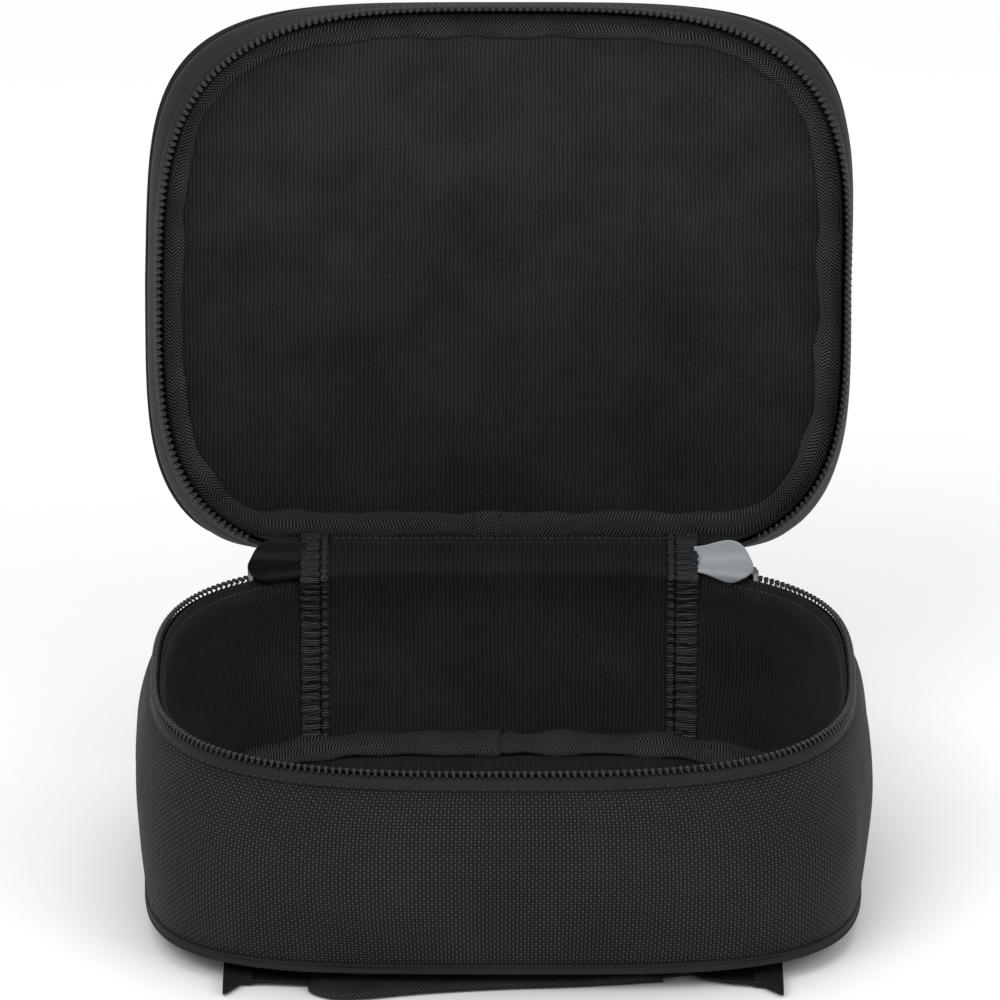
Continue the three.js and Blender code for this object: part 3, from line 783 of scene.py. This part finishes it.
def stitch_row(name, shape, place, track, body, material, pitch, length, width):
    """Small thread stitches, in millimetres, along the outline at place, an (offset, level)."""
    points, normals = line_on(shape, *place, track[0])
    run = run_length(points)
    count = int(run[-1] / (pitch * MM))
    at = (np.arange(count) + 0.5) * run[-1] / count
    centre = pick(points, run, at)
    tangent = unit(pick(points, run, at + 0.4 * MM) - pick(points, run, at - 0.4 * MM))
    side = unit(np.cross(tangent, pick(normals, run, at)))
    up = np.cross(side, tangent)
    sides, rings = 6, 5
    verts, faces = [], []
    for k in range(count):
        faces += tube_faces(rings, sides, len(verts))
        for t in np.linspace(-1, 1, rings):
            size = math.sqrt(max(1 - t * t, 0.03)) * width * MM
            for a in np.linspace(0, 2 * math.pi, sides, endpoint=False):
                verts.append(centre[k] + tangent[k] * t * length * MM / 2
                             + side[k] * size * math.cos(a) + up[k] * size * 0.7 * math.sin(a))
    finish_piece(new_object(name, verts, faces), body, material, "twill_binding")


# ---- Binding tapes ----

def binding(name, shape, section, body, node, lumps, seed):
    """A tape rolled over a seam, slightly lumpy, all the way round."""

    def roll(length, offset, height):
        fat = lumps * ripple(length, 26 * MM, seed)
        slip = lumps * 0.8 * ripple(length, 70 * MM, seed + 1)
        middle_offset, middle_height = offset.mean(1)[:, None], height.mean(1)[:, None]
        return ((offset - middle_offset) * fat * 0.25 + slip * 0.5 * MM,
                (height - middle_height) * fat * 0.5)

    obj = sweep(name, shape, section, all_round(shape, 420), wrap=True, shift=roll)
    return finish_piece(obj, body, TWILL, "twill_binding", node)


def overlap(name, shape, section, body, x_start, x_end):
    """The tape's end, lapped over its start: a short second layer, a little proud."""
    middle = section.mean(0)
    grown = middle + (section - middle) * np.array([1.05, 1.28])
    angles, length = even_angles(shape, shape.rear_angle(x_start), shape.rear_angle(x_end), 14)
    obj = sweep(name, shape, grown, (angles, length))
    return finish_piece(obj, body, TWILL, "twill_binding")


def rolled_section(centre, half_width, half_thick, tilt):
    """A flattened roll of tape: an ellipse with a slightly flat outer face."""
    turn = np.linspace(0, 2 * math.pi, 20, endpoint=False)
    wide = half_width * signed_power(np.cos(turn), 0.85)
    thick = half_thick * signed_power(np.sin(turn), 0.85)
    c, s = math.cos(tilt), math.sin(tilt)
    return np.stack([centre[0] + wide * c - thick * s, centre[1] + wide * s + thick * c], 1)


LID_BINDING = rolled_section((-4.6, 10.6), 3.9, 1.55, math.radians(-6))
FLOOR_BINDING = rolled_section((-8.0, FLOOR_Z / MM + 3.0), 4.9, 1.5, math.radians(24))


# ---- The lid's pieces ----

def lid_gusset():
    line = curve_through([(0.7, 6.6), (1.6, 9.6), (2.1, 12.6), (1.5, 16.6)], 14)

    def swell(length, offset, height):
        return 0.25 * MM * ripple(length, 120 * MM, 31) * np.ones_like(offset), 0.0

    obj = sweep("lid_side_band", LID, tape_section(line, 0.6), round_front(LID, SEAM_X, 300), shift=swell)
    finish_piece(obj, "lid", GUSSET, "smooth_tape", "lid_gusset")


def lid_gusset_lining():
    line = curve_through([(-1.9, 2.7), (-1.6, 6.6), (-1.1, 9.4), (-0.6, 12.2)], 10)
    obj = sweep("lid_side_lining", LID, tape_section(line, 0.35), round_front(LID, SEAM_X, 260))
    finish_piece(obj, "lid", LINING, "knit_lining", "lid_gusset_lining")


# ---- Pads, by cloth simulation ----

def pad_mesh(name, shape, offset, low, high, count=72, rows=13):
    """A closed pad with a round edge, in the closed case, as rings from its middle round to its middle."""
    angles = all_round(shape, count)[0]
    edge = np.concatenate([
        [(k, 0.0) for k in np.linspace(0.06, 1, rows)],
        [(1.0 + 0.006 * math.sin(t), (1 - math.cos(t)) / 2) for t in (0.8, math.pi / 2, 2.34)],
        [(k, 1.0) for k in np.linspace(1, 0.06, rows)],
    ])
    x, y = shape.ring(angles, offset * MM, low * MM)
    middle_y = (y.max() + y.min()) / 2
    verts = []
    for grow, k in edge:
        z = (low + (high - low) * k) * MM + (RIM_Z if shape is LID else 0.0)
        verts.append(np.stack([x * grow, middle_y + (y - middle_y) * grow, np.full(count, z)], 1))
    faces = tube_faces(len(edge), count)
    faces[-2:] = [cap[::-1] for cap in faces[-2:]]      # the cloth's result depends on their direction
    return flat_mapped(name, np.concatenate(verts), faces)


def places(mesh):
    found = np.zeros(len(mesh.vertices) * 3)
    mesh.vertices.foreach_get("co", found)
    return found.reshape(-1, 3)


def inflate(obj, cap, held, pressure=3.0, frames=16):
    """Swells a pad with Blender's cloth, holding the vertices that held() picks, and caps the swelling."""
    mesh = obj.data
    before = places(mesh)
    group = obj.vertex_groups.new(name="held")
    group.add([int(k) for k in np.nonzero(held(before))[0]], 1.0, "REPLACE")
    cloth = obj.modifiers.new("cloth", "CLOTH")
    settings = {"quality": 5, "mass": 0.2, "tension_stiffness": 12, "compression_stiffness": 12,
                "bending_stiffness": 0.5, "use_pressure": True, "uniform_pressure_force": pressure,
                "vertex_group_mass": "held"}
    for key, value in settings.items():
        setattr(cloth.settings, key, value)
    cloth.settings.effector_weights.gravity = 0.0
    cloth.point_cache.frame_start = 1
    cloth.point_cache.frame_end = frames
    for number in range(1, frames + 1):
        bpy.context.scene.frame_set(number)
    shown = obj.evaluated_get(bpy.context.evaluated_depsgraph_get()).data
    move = places(shown) - before
    obj.modifiers.clear()
    bpy.context.scene.frame_set(1)
    reach = np.linalg.norm(move, axis=1)
    allowed = cap * np.tanh(reach / cap)
    move *= (allowed / np.maximum(reach, 1e-9))[:, None]
    mesh.vertices.foreach_set("co", (before + move).ravel())
    obj.vertex_groups.clear()
    mesh.update()


def pad(name, shape, offset, low, high, cap, body, material, slot, nodes, sag=0.0, seed=1):
    """A padded panel: its rounded rim is held, and its faces swell and then soften."""
    obj = pad_mesh(name, shape, offset, low, high)
    half = np.array([shape.half_width, BACK_Y]) + offset * MM
    power = 3.4

    def held(points):
        rim = np.abs(points[:, :2]) / half
        return (rim ** power).sum(1) > 0.9

    inflate(obj, cap * MM, held)
    smooth = obj.modifiers.new("finer", "SUBSURF")
    smooth.levels = smooth.render_levels = 1
    apply_modifiers(obj)
    mesh = obj.data
    points = places(mesh)
    fade = np.clip(1 - ((np.abs(points[:, :2]) / half) ** power).sum(1), 0, 1)
    soft = ripple2(points[:, 0], points[:, 1], 55 * MM, seed) * 0.5 + ripple2(
        points[:, 0], points[:, 1], 22 * MM, seed + 1) * 0.18
    points[:, 2] += soft * sag * MM * fade ** 0.5
    if shape is LID:
        points = open_lid(points)
    mesh.vertices.foreach_set("co", points.ravel())
    mesh.update()
    finish_piece(obj, body, material, slot, *nodes)
    return obj


def apply_modifiers(obj):
    shown = obj.evaluated_get(bpy.context.evaluated_depsgraph_get())
    mesh = bpy.data.meshes.new_from_object(shown)
    obj.modifiers.clear()
    obj.data = mesh
    mesh.shade_smooth()


# ---- Hinge cloth, which runs from the back of the base on into the open lid ----


def up_the_back(heights, depth, upper):
    """The base line of a hinge piece: this deep in the wall at each height, then the upper points."""
    return [(float(wall_offset(z)) - depth, z) for z in heights] + upper


def rear_points(x, base_line, lid_line, count):
    """Rows of points up the back and on into the lid, for each x. Lines are (offset, level) in mm."""
    rows = []
    for across in x:
        path = [(across, BASE.rear(across, offset * MM, z * MM), z * MM) for offset, z in base_line]
        for offset, depth in lid_line:
            path.append(open_lid((across, LID.rear(across, offset * MM, depth * MM), RIM_Z + depth * MM)))
        rows.append(curve_through(path, count))
    return np.array(rows)


def thin_shell(name, points, x, rise, thickness):
    """A thin closed shell: the sheet of points, and a copy of it moved along its normals."""
    along = np.gradient(points, axis=0)
    up = np.gradient(points, axis=1)
    back = points - unit(np.cross(along, up)) * thickness
    v = np.concatenate([rise, rise[::-1], rise[:1]])
    return grid(name, np.concatenate([points, back[:, ::-1]], axis=1), np.concatenate([x, x[-1:]]), v)


def hinge_sheet(name, x, base_line, lid_line, count, thickness, material, slot, nodes, wobble=None):
    points = rear_points(x, base_line, lid_line, count)
    if wobble is not None:
        points = points + wobble(points)
    rise = run_length(points[len(x) // 2])
    obj = thin_shell(name, points, x, rise, thickness)
    finish_piece(obj, None, material, slot, *nodes)
    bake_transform(obj)


def hinge_lining():
    x = np.linspace(-SEAM_X + 0.6 * MM, SEAM_X - 0.6 * MM, 90)
    base_line = up_the_back((WALL_BOTTOM_MM + 1, 18, 30, 44, 56, 62), 5.0,
                            [(-3.6, WALL_TOP_MM + 1.5), (-4.0, RIM_MM - 1.6)])
    lid_line = [(-2.6, 2.4), (-1.9, 6.5), (-1.6, 9.5), (-2.4, 12.2)]

    def wobble(points):
        soft = 0.35 * ripple2(points[..., 0], points[..., 2], 42 * MM, 51)
        move = np.zeros_like(points)
        move[..., 1] = (soft - 0.4) * MM * np.clip((RIM_Z - points[..., 2]) / (10 * MM), 0, 1)
        return move

    hinge_sheet("hinge_lining", x, base_line, lid_line, 60, 0.7 * MM, LINING, "knit_lining",
                ("back_panel_lining", "back_panel_foam", "lid_rear_lining"), wobble)


def hinge_skin():
    x = np.linspace(-SEAM_X + 0.3 * MM, SEAM_X - 0.3 * MM, 90)
    base_line = up_the_back((WALL_BOTTOM_MM, 14, 20, 30, 40, 50, 57, 61, 63.5), 0.7,
                            [(0.4, WALL_TOP_MM + 1.5), (-0.4, RIM_MM - 1.6)])
    lid_line = [(-0.1, 1.6), (0.2, 5), (0.4, 10), (0.5, 16.6)]
    hinge_sheet("hinge_skin", x, base_line, lid_line, 70, -0.7 * MM, WEAVE, "nylon_weave",
                ("back_panel", "lid_rear_skin"))


SEAM_TAPES = {
    "left": (("wide", -63.0, -57.0, 1.15, 61), ("narrow", -56.6, -54.4, 0.9, 67)),
    "right": (("narrow", 51.2, 53.4, 0.9, 69), ("wide", 53.8, 60.6, 1.15, 63)),
}
GATHER_PITCH = 3.1              # in millimetres


def seam_tape(word):
    """Two gathered tapes side by side, a wide one and a narrow one, crossing the hinge."""
    base_line = up_the_back((FLOOR_Z / MM + 4.4, 24, 40, 52, 60), 6.1,
                            [(-4.6, WALL_TOP_MM + 1.0), (-5.0, RIM_MM - 1.6)])
    lid_line = [(-3.7, 2.6), (-3.0, 6.0), (-2.7, 9.6)]
    for part, low_x, high_x, puff, seed in SEAM_TAPES[word]:
        x = np.linspace(low_x, high_x, 13) * MM
        rows = 330

        def wobble(points, seed=seed, puff=puff):
            across = np.linspace(-1, 1, len(points))[:, None]
            rise = run_length(points[6])[None, :] / MM
            beat = 2 * math.pi * (rise / GATHER_PITCH + 0.22 * ripple(rise, 17.0, seed))
            gather = (0.5 + 0.5 * np.cos(beat + 0.9 * ripple2(across * 3, rise, 9.0, seed + 1))) ** 0.7
            fine = 0.16 * np.cos(2 * math.pi * rise / 0.9 + 1.5 * ripple2(across * 3, rise, 4.0, seed + 2))
            crown = 1 - np.abs(across) ** 3
            lift = (0.15 + 0.7 * gather + fine * gather) * puff * crown * MM
            pull = 0.3 * MM * np.cos(beat) * across
            move = np.zeros_like(points)
            move[..., 1] = -lift
            move[..., 0] = pull
            return move

        nodes = (f"back_seam_tape_{word}", f"lid_seam_tape_{word}") if part == "wide" else ()
        hinge_sheet(f"seam_tape_{word}_{part}", x, base_line, lid_line, rows, 0.5 * MM, RUCHED,
                    "twill_binding", nodes, wobble)


TAB_ROUND = 7.6 * MM            # the radius of a tab's round end
TAB_CENTRE = 0.57               # where its centre line is, as a share of the way up its path
TAB_INSET = -4.3 * MM           # how far inside the zipper line its lower edge lies


def end_tab(word, side, inner, middle, material, slot, neck):
    """A coated tab with a round outer end. It is folded where the lid turns, over both zipper ends."""
    across = np.concatenate([
        np.linspace(inner, middle, 16, endpoint=False),
        middle + TAB_ROUND * np.sin(np.linspace(0, math.pi / 2 - 0.04, 22)),
    ])
    k = np.clip((across - inner) / (middle - inner), 0, 1)
    beyond = np.clip((across - middle) / TAB_ROUND, 0, 1)
    width = np.sqrt(1 - beyond ** 2) * (1 - neck * (1 - k * k * (3 - 2 * k)))
    steps = 31
    rows = []
    for x, wide in zip(across * side, width):
        y = BASE.rear(x, TAB_INSET, RIM_Z)
        rise = 0.17 * (BASE.rear(inner, TAB_INSET, RIM_Z) - y)
        low = np.array((x, y, RIM_Z - 3.3 * MM + rise))
        lip = np.array((x, y + 1.3 * MM, RIM_Z - 0.3 * MM + rise))
        fold = np.array((x, HINGE[1] - 2.2 * MM, RIM_Z + 0.9 * MM))
        high = open_lid(np.array((x, HINGE[1] - 6.3 * MM, RIM_Z - 0.9 * MM)))
        path = curve_through([low, lip, fold, high], 200)
        at = TAB_CENTRE + (np.linspace(0, 1, steps) - TAB_CENTRE) * wide
        rows.append(pick(path, np.linspace(0, 1, len(path)), at))
    points = np.array(rows)
    if side < 0:
        points = points[::-1]
        across = across[::-1]
    obj = thin_shell(f"end_tab_{word}", points, across, np.linspace(0, 2 * TAB_ROUND, steps), 0.8 * MM)
    finish_piece(obj, None, material, slot, f"zipper_end_tab_{word}", f"lid_end_tab_{word}")
    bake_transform(obj)


# ---- Underside and handle ----

def bottom_panel():
    """The woven underside: a flat padded patch that it stands on, rising to the piping."""
    edge_low = WELT_LOW / MM - 0.9
    pad_a, pad_b = 86.0, 63.0
    count = 200
    angles = all_round(BASE, count)[0]

    def pad_ring(grow, z):
        along = np.abs(np.cos(angles)) / ((pad_a + grow) * MM)
        across = np.abs(np.sin(angles)) / ((pad_b + grow) * MM)
        radius = (along ** 3 + across ** 3) ** (-1 / 3)
        return np.stack([radius * np.cos(angles), radius * np.sin(angles), np.full(count, z * MM)], 1)

    def edge_ring(offset, z):
        x, y = BASE.ring(angles, offset * MM, z * MM)
        return np.stack([x, y, np.full(count, z * MM)], 1)

    def between(k, z):
        ring = pad_ring(4.0, 0.0) * (1 - k) + edge_ring(1.2, z) * k
        ring[:, 2] = z * MM
        return ring

    shrinks = (0.03, 0.3, 0.6, 0.85)
    rings = [pad_ring(0.0, 0.0) * np.array([k, k, 1]) for k in shrinks]
    rings += [pad_ring(-1.5, 0.0), pad_ring(0.3, 0.25), pad_ring(1.6, 1.1), pad_ring(2.6, 2.4),
              pad_ring(3.4, 3.3), between(0.05, 3.6), between(0.4, 3.9), between(0.8, 4.5),
              edge_ring(1.1, edge_low), edge_ring(1.1, edge_low + 1.2),
              between(0.8, 5.7), between(0.4, 5.1), between(0.05, 4.8), pad_ring(2.4, 4.4),
              pad_ring(1.0, 2.8), pad_ring(-1.5, 1.3)]
    rings += [pad_ring(0.0, 1.2) * np.array([k, k, 1]) for k in reversed(shrinks)]
    obj = flat_mapped("underside", np.concatenate(rings), tube_faces(len(rings), count))
    finish_piece(obj, "base", WEAVE, "nylon_weave", "base_bottom_panel")


def flat_strap(name, x, front, back, low, high, material, slot, node):
    """A strap lying along x, in millimetres. Its four edges are single values or arrays over x."""
    around = np.linspace(0, 2 * math.pi, 28, endpoint=False)
    front, back, low, high = (np.broadcast_to(k, len(x))[:, None] for k in (front, back, low, high))
    y = (front + back) / 2 + (back - front) / 2 * signed_power(np.cos(around), 0.35)
    z = (low + high) / 2 + (high - low) / 2 * signed_power(np.sin(around), 0.6)
    points = np.stack(np.broadcast_arrays(x[:, None], y, z), 2) * MM
    v = section_lengths(points[len(x) // 2][:, 1:])
    obj = grid(name, points, np.concatenate([x, x[-1:]]) * MM, v)
    return finish_piece(obj, "base", material, slot, node)


# The strap's front edge, as (x, y) in millimetres: it kicks out at its sewn ends, and the sleeve sags.
WEB_FRONT = [(-84, -91.5), (-82.5, -90.5), (-78.5, -84), (-70, -84.3), (-59, -85.5), (-30, -84), (30, -81),
             (48, -80.8), (56, -78.5), (60, -81.5), (68, -84.3), (78, -86), (82.5, -91), (84, -92.4)]
SLEEVE_FRONT = [(-59.2, -86), (-57, -91), (-50.5, -95.2), (-43, -95.2), (-31, -92.4), (-19, -90),
                (-1, -87.6), (17, -86.2), (29, -85), (41, -83.2), (48.5, -81.8)]


def handle():
    grip_low, grip_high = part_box("handle_grip")
    web_low, web_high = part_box("handle_webbing")
    x = np.linspace(-83.6, 83.6, 220)
    front = np.interp(x, *np.array(WEB_FRONT).T)
    flat_strap("handle_webbing_strap", x, front, web_high.y / MM, web_low.z / MM, web_high.z / MM,
               WEBBING, "webbing", "handle_webbing")
    x = np.linspace(grip_low.x / MM, grip_high.x / MM, 180)
    front = np.interp(x, *curve_through(SLEEVE_FRONT, 60).T)
    k = (x - x[0]) / (x[-1] - x[0])
    ends = 1 - 0.3 * (bump(k, 0, 0.02) + bump(k, 1, 0.02))
    high = 0.05 + 3.2 * ends + 0.12 * ripple(x, 30, 73)
    flat_strap("handle_sleeve", x, front, grip_high.y / MM, 0.05, high, TWILL, "twill_binding",
               "handle_grip")
    for word in ("left", "right"):
        lo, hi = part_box(f"handle_end_tab_{word}")
        x = np.linspace(lo.x, hi.x, 24) / MM
        front = np.interp(x, *np.array(WEB_FRONT).T) - 0.3
        flat_strap(f"handle_end_{word}", x, front, hi.y / MM, lo.z / MM, hi.z / MM, WEBBING, "webbing",
                   f"handle_end_tab_{word}")


# ---- Hardware: the CAD shapes with softened edges ----

def hardware(node, body):
    source = frame["nodes"][node]
    mesh = source.data.copy()
    bm = bmesh.new()
    bm.from_mesh(mesh)
    bmesh.ops.dissolve_limit(bm, angle_limit=math.radians(2), verts=bm.verts, edges=bm.edges)
    sharp = [e for e in bm.edges if len(e.link_faces) == 2 and e.calc_face_angle() > math.radians(35)]
    bmesh.ops.bevel(bm, geom=sharp, offset=0.3 * MM, segments=3, profile=0.5, affect="EDGES")
    bmesh.ops.recalc_face_normals(bm, faces=bm.faces)
    bm.to_mesh(mesh)
    bm.free()
    mesh.shade_smooth()
    obj = add_object(node.replace("zipper_", "metal_"), mesh)
    obj.matrix_world = source.matrix_world
    finish_piece(obj, body, METAL, "slider_metal", node)


# ---- Camera, light and floor ----

def set_camera():
    elevation = math.radians(21.3)
    distance = 3.5
    back = Vector((0.0, -math.cos(elevation), math.sin(elevation)))
    up = Vector((0.0, math.sin(elevation), math.cos(elevation)))
    target = Vector((-0.00095, 0.003, RIM_Z)) + up * 0.0483
    data = bpy.data.cameras.new("camera")
    data.lens = 413.4
    data.sensor_width = 36.0
    data.clip_end = 50.0
    camera = add_object("camera", data)
    camera.matrix_world = Matrix.LocRotScale(
        target + back * distance, back.to_track_quat("Z", "Y"), None)
    bpy.context.scene.camera = camera


def area_light(name, place, aim, size, power):
    data = bpy.data.lights.new(name, "AREA")
    data.shape = "RECTANGLE"
    data.size, data.size_y = size
    data.energy = power
    light = add_object(name, data)
    light.location = place
    light.rotation_euler = (Vector(aim) - Vector(place)).to_track_quat("-Z", "Y").to_euler()


def set_stage():
    scene = bpy.context.scene
    scene.view_settings.view_transform = "Standard"
    world = bpy.data.worlds.new("studio")
    world.use_nodes = True
    background = world.node_tree.nodes["Background"]
    background.inputs["Color"].default_value = (0.9, 0.92, 0.95, 1.0)
    background.inputs["Strength"].default_value = 0.75
    scene.world = world
    area_light("key_softbox", (-0.9, -1.3, 1.7), (0, 0, 0.1), (1.4, 1.0), 16)
    area_light("fill_softbox", (1.3, -1.1, 1.2), (0, 0, 0.1), (1.2, 1.2), 9)
    area_light("top_softbox", (0.0, 0.4, 2.0), (0, 0, 0.1), (1.6, 1.2), 12)
    mesh = bpy.data.meshes.new("floor")
    reach = 6.0
    mesh.from_pydata([(-reach, -reach, 0), (reach, -reach, 0), (reach, reach, 0), (-reach, reach, 0)],
                     [], [(0, 1, 2, 3)])
    floor = add_object("floor", mesh)
    pale = Nodes("pale_floor")
    grain = pale.noise(pale.spot(), 6.0, 2.0)
    colour = pale.ramp(grain, [(0.0, (0.9, 0.9, 0.9)), (1.0, (0.93, 0.93, 0.93))])
    mesh.materials.append(pale.look(colour, 0.9, specular=0.1))


# ---- Assembly ----

set_camera()
set_stage()

base_wall()
wall_lining()
welt("bottom_piping", BASE, WELT_LOW / MM, WELT_HIGH / MM, 3.3, "base", "base_bottom_welt")
zipper_tape("rim_band", BASE, "base", "base_zipper_tape",
            [(0.75, WALL_TOP_MM + 0.7), (0.55, WALL_TOP_MM + 2.3), (-0.2, RIM_MM - 2.6)])
coil("rim_teeth", BASE, "base", "base_zipper_coil")
binding("floor_binding", BASE, FLOOR_BINDING, "base", "base_floor_binding", 0.6, 41)
overlap("floor_binding_lap", BASE, FLOOR_BINDING, "base", -1 * MM, -10 * MM)
bottom_panel()
handle()
pad("floor_pad", BASE, -1.0, FLOOR_Z / MM - 0.9, FLOOR_Z / MM, 2.2, "base", FLAT_LINING, "knit_lining",
    ("base_floor_lining", "base_floor_foam"), sag=0.3, seed=81)

lid_gusset()
lid_gusset_lining()
welt("lid_piping", LID, 17.0, 19.6, 2.9, "lid", "lid_welt")
zipper_tape("lid_band", LID, "lid", "lid_zipper_tape", [(-0.2, 2.6), (0.4, 4.2), (0.7, 6.1)])
coil("lid_teeth", LID, "lid", "lid_zipper_coil")
binding("lid_binding_roll", LID, LID_BINDING, "lid", "lid_binding", 0.7, 43)
overlap("lid_binding_lap", LID, LID_BINDING, "lid", 0.5 * MM, -9 * MM)
pad("lid_lining_pad", LID, -3.0, 11.6, 13.2, 2.0, "lid", FLAT_LINING, "knit_lining",
    ("lid_lining", "lid_foam"), sag=0.5, seed=83)
pad("lid_cover", LID, 0.9, 17.1, 18.4, 1.6, "lid", WEAVE, "nylon_weave",
    ("lid_panel",), sag=0.4, seed=85)

hinge_lining()
hinge_skin()
for word in ("left", "right"):
    seam_tape(word)
end_tab("left", -1, 61.6 * MM, 71.8 * MM, BLACK_TAB, "black_tab", 0.1)
end_tab("right", 1, 59.4 * MM, 70.2 * MM, GREY_TAB, "grey_tab", 0.3)
for word in ("left", "right"):
    hardware(f"zipper_slider_{word}", "base")
    hardware(f"zipper_puller_{word}", f"puller_{word}")

stitch_row("rim_seam_stitches", BASE, (1.25, WALL_TOP_MM + 1.0), round_front(BASE, SEAM_X, 600),
           "base", DARK_THREAD, 2.9, 2.1, 0.34)
corner = BASE.rear_angle(70 * MM)
for word, start, end in (("left", math.pi - corner, math.pi + 0.12), ("right", -0.12, corner)):
    stitch_row(f"corner_stitches_{word}", BASE, (-2.85, RIM_MM - 3.9),
               even_angles(BASE, start, end, 200), "base", THREAD, 1.9, 1.2, 0.3)
corner = LID.rear_angle(56 * MM)
stitch_row("lid_hinge_stitches", LID, (-2.5, 6.6), even_angles(LID, corner, math.pi - corner, 200),
           "lid", THREAD, 2.1, 1.3, 0.3)
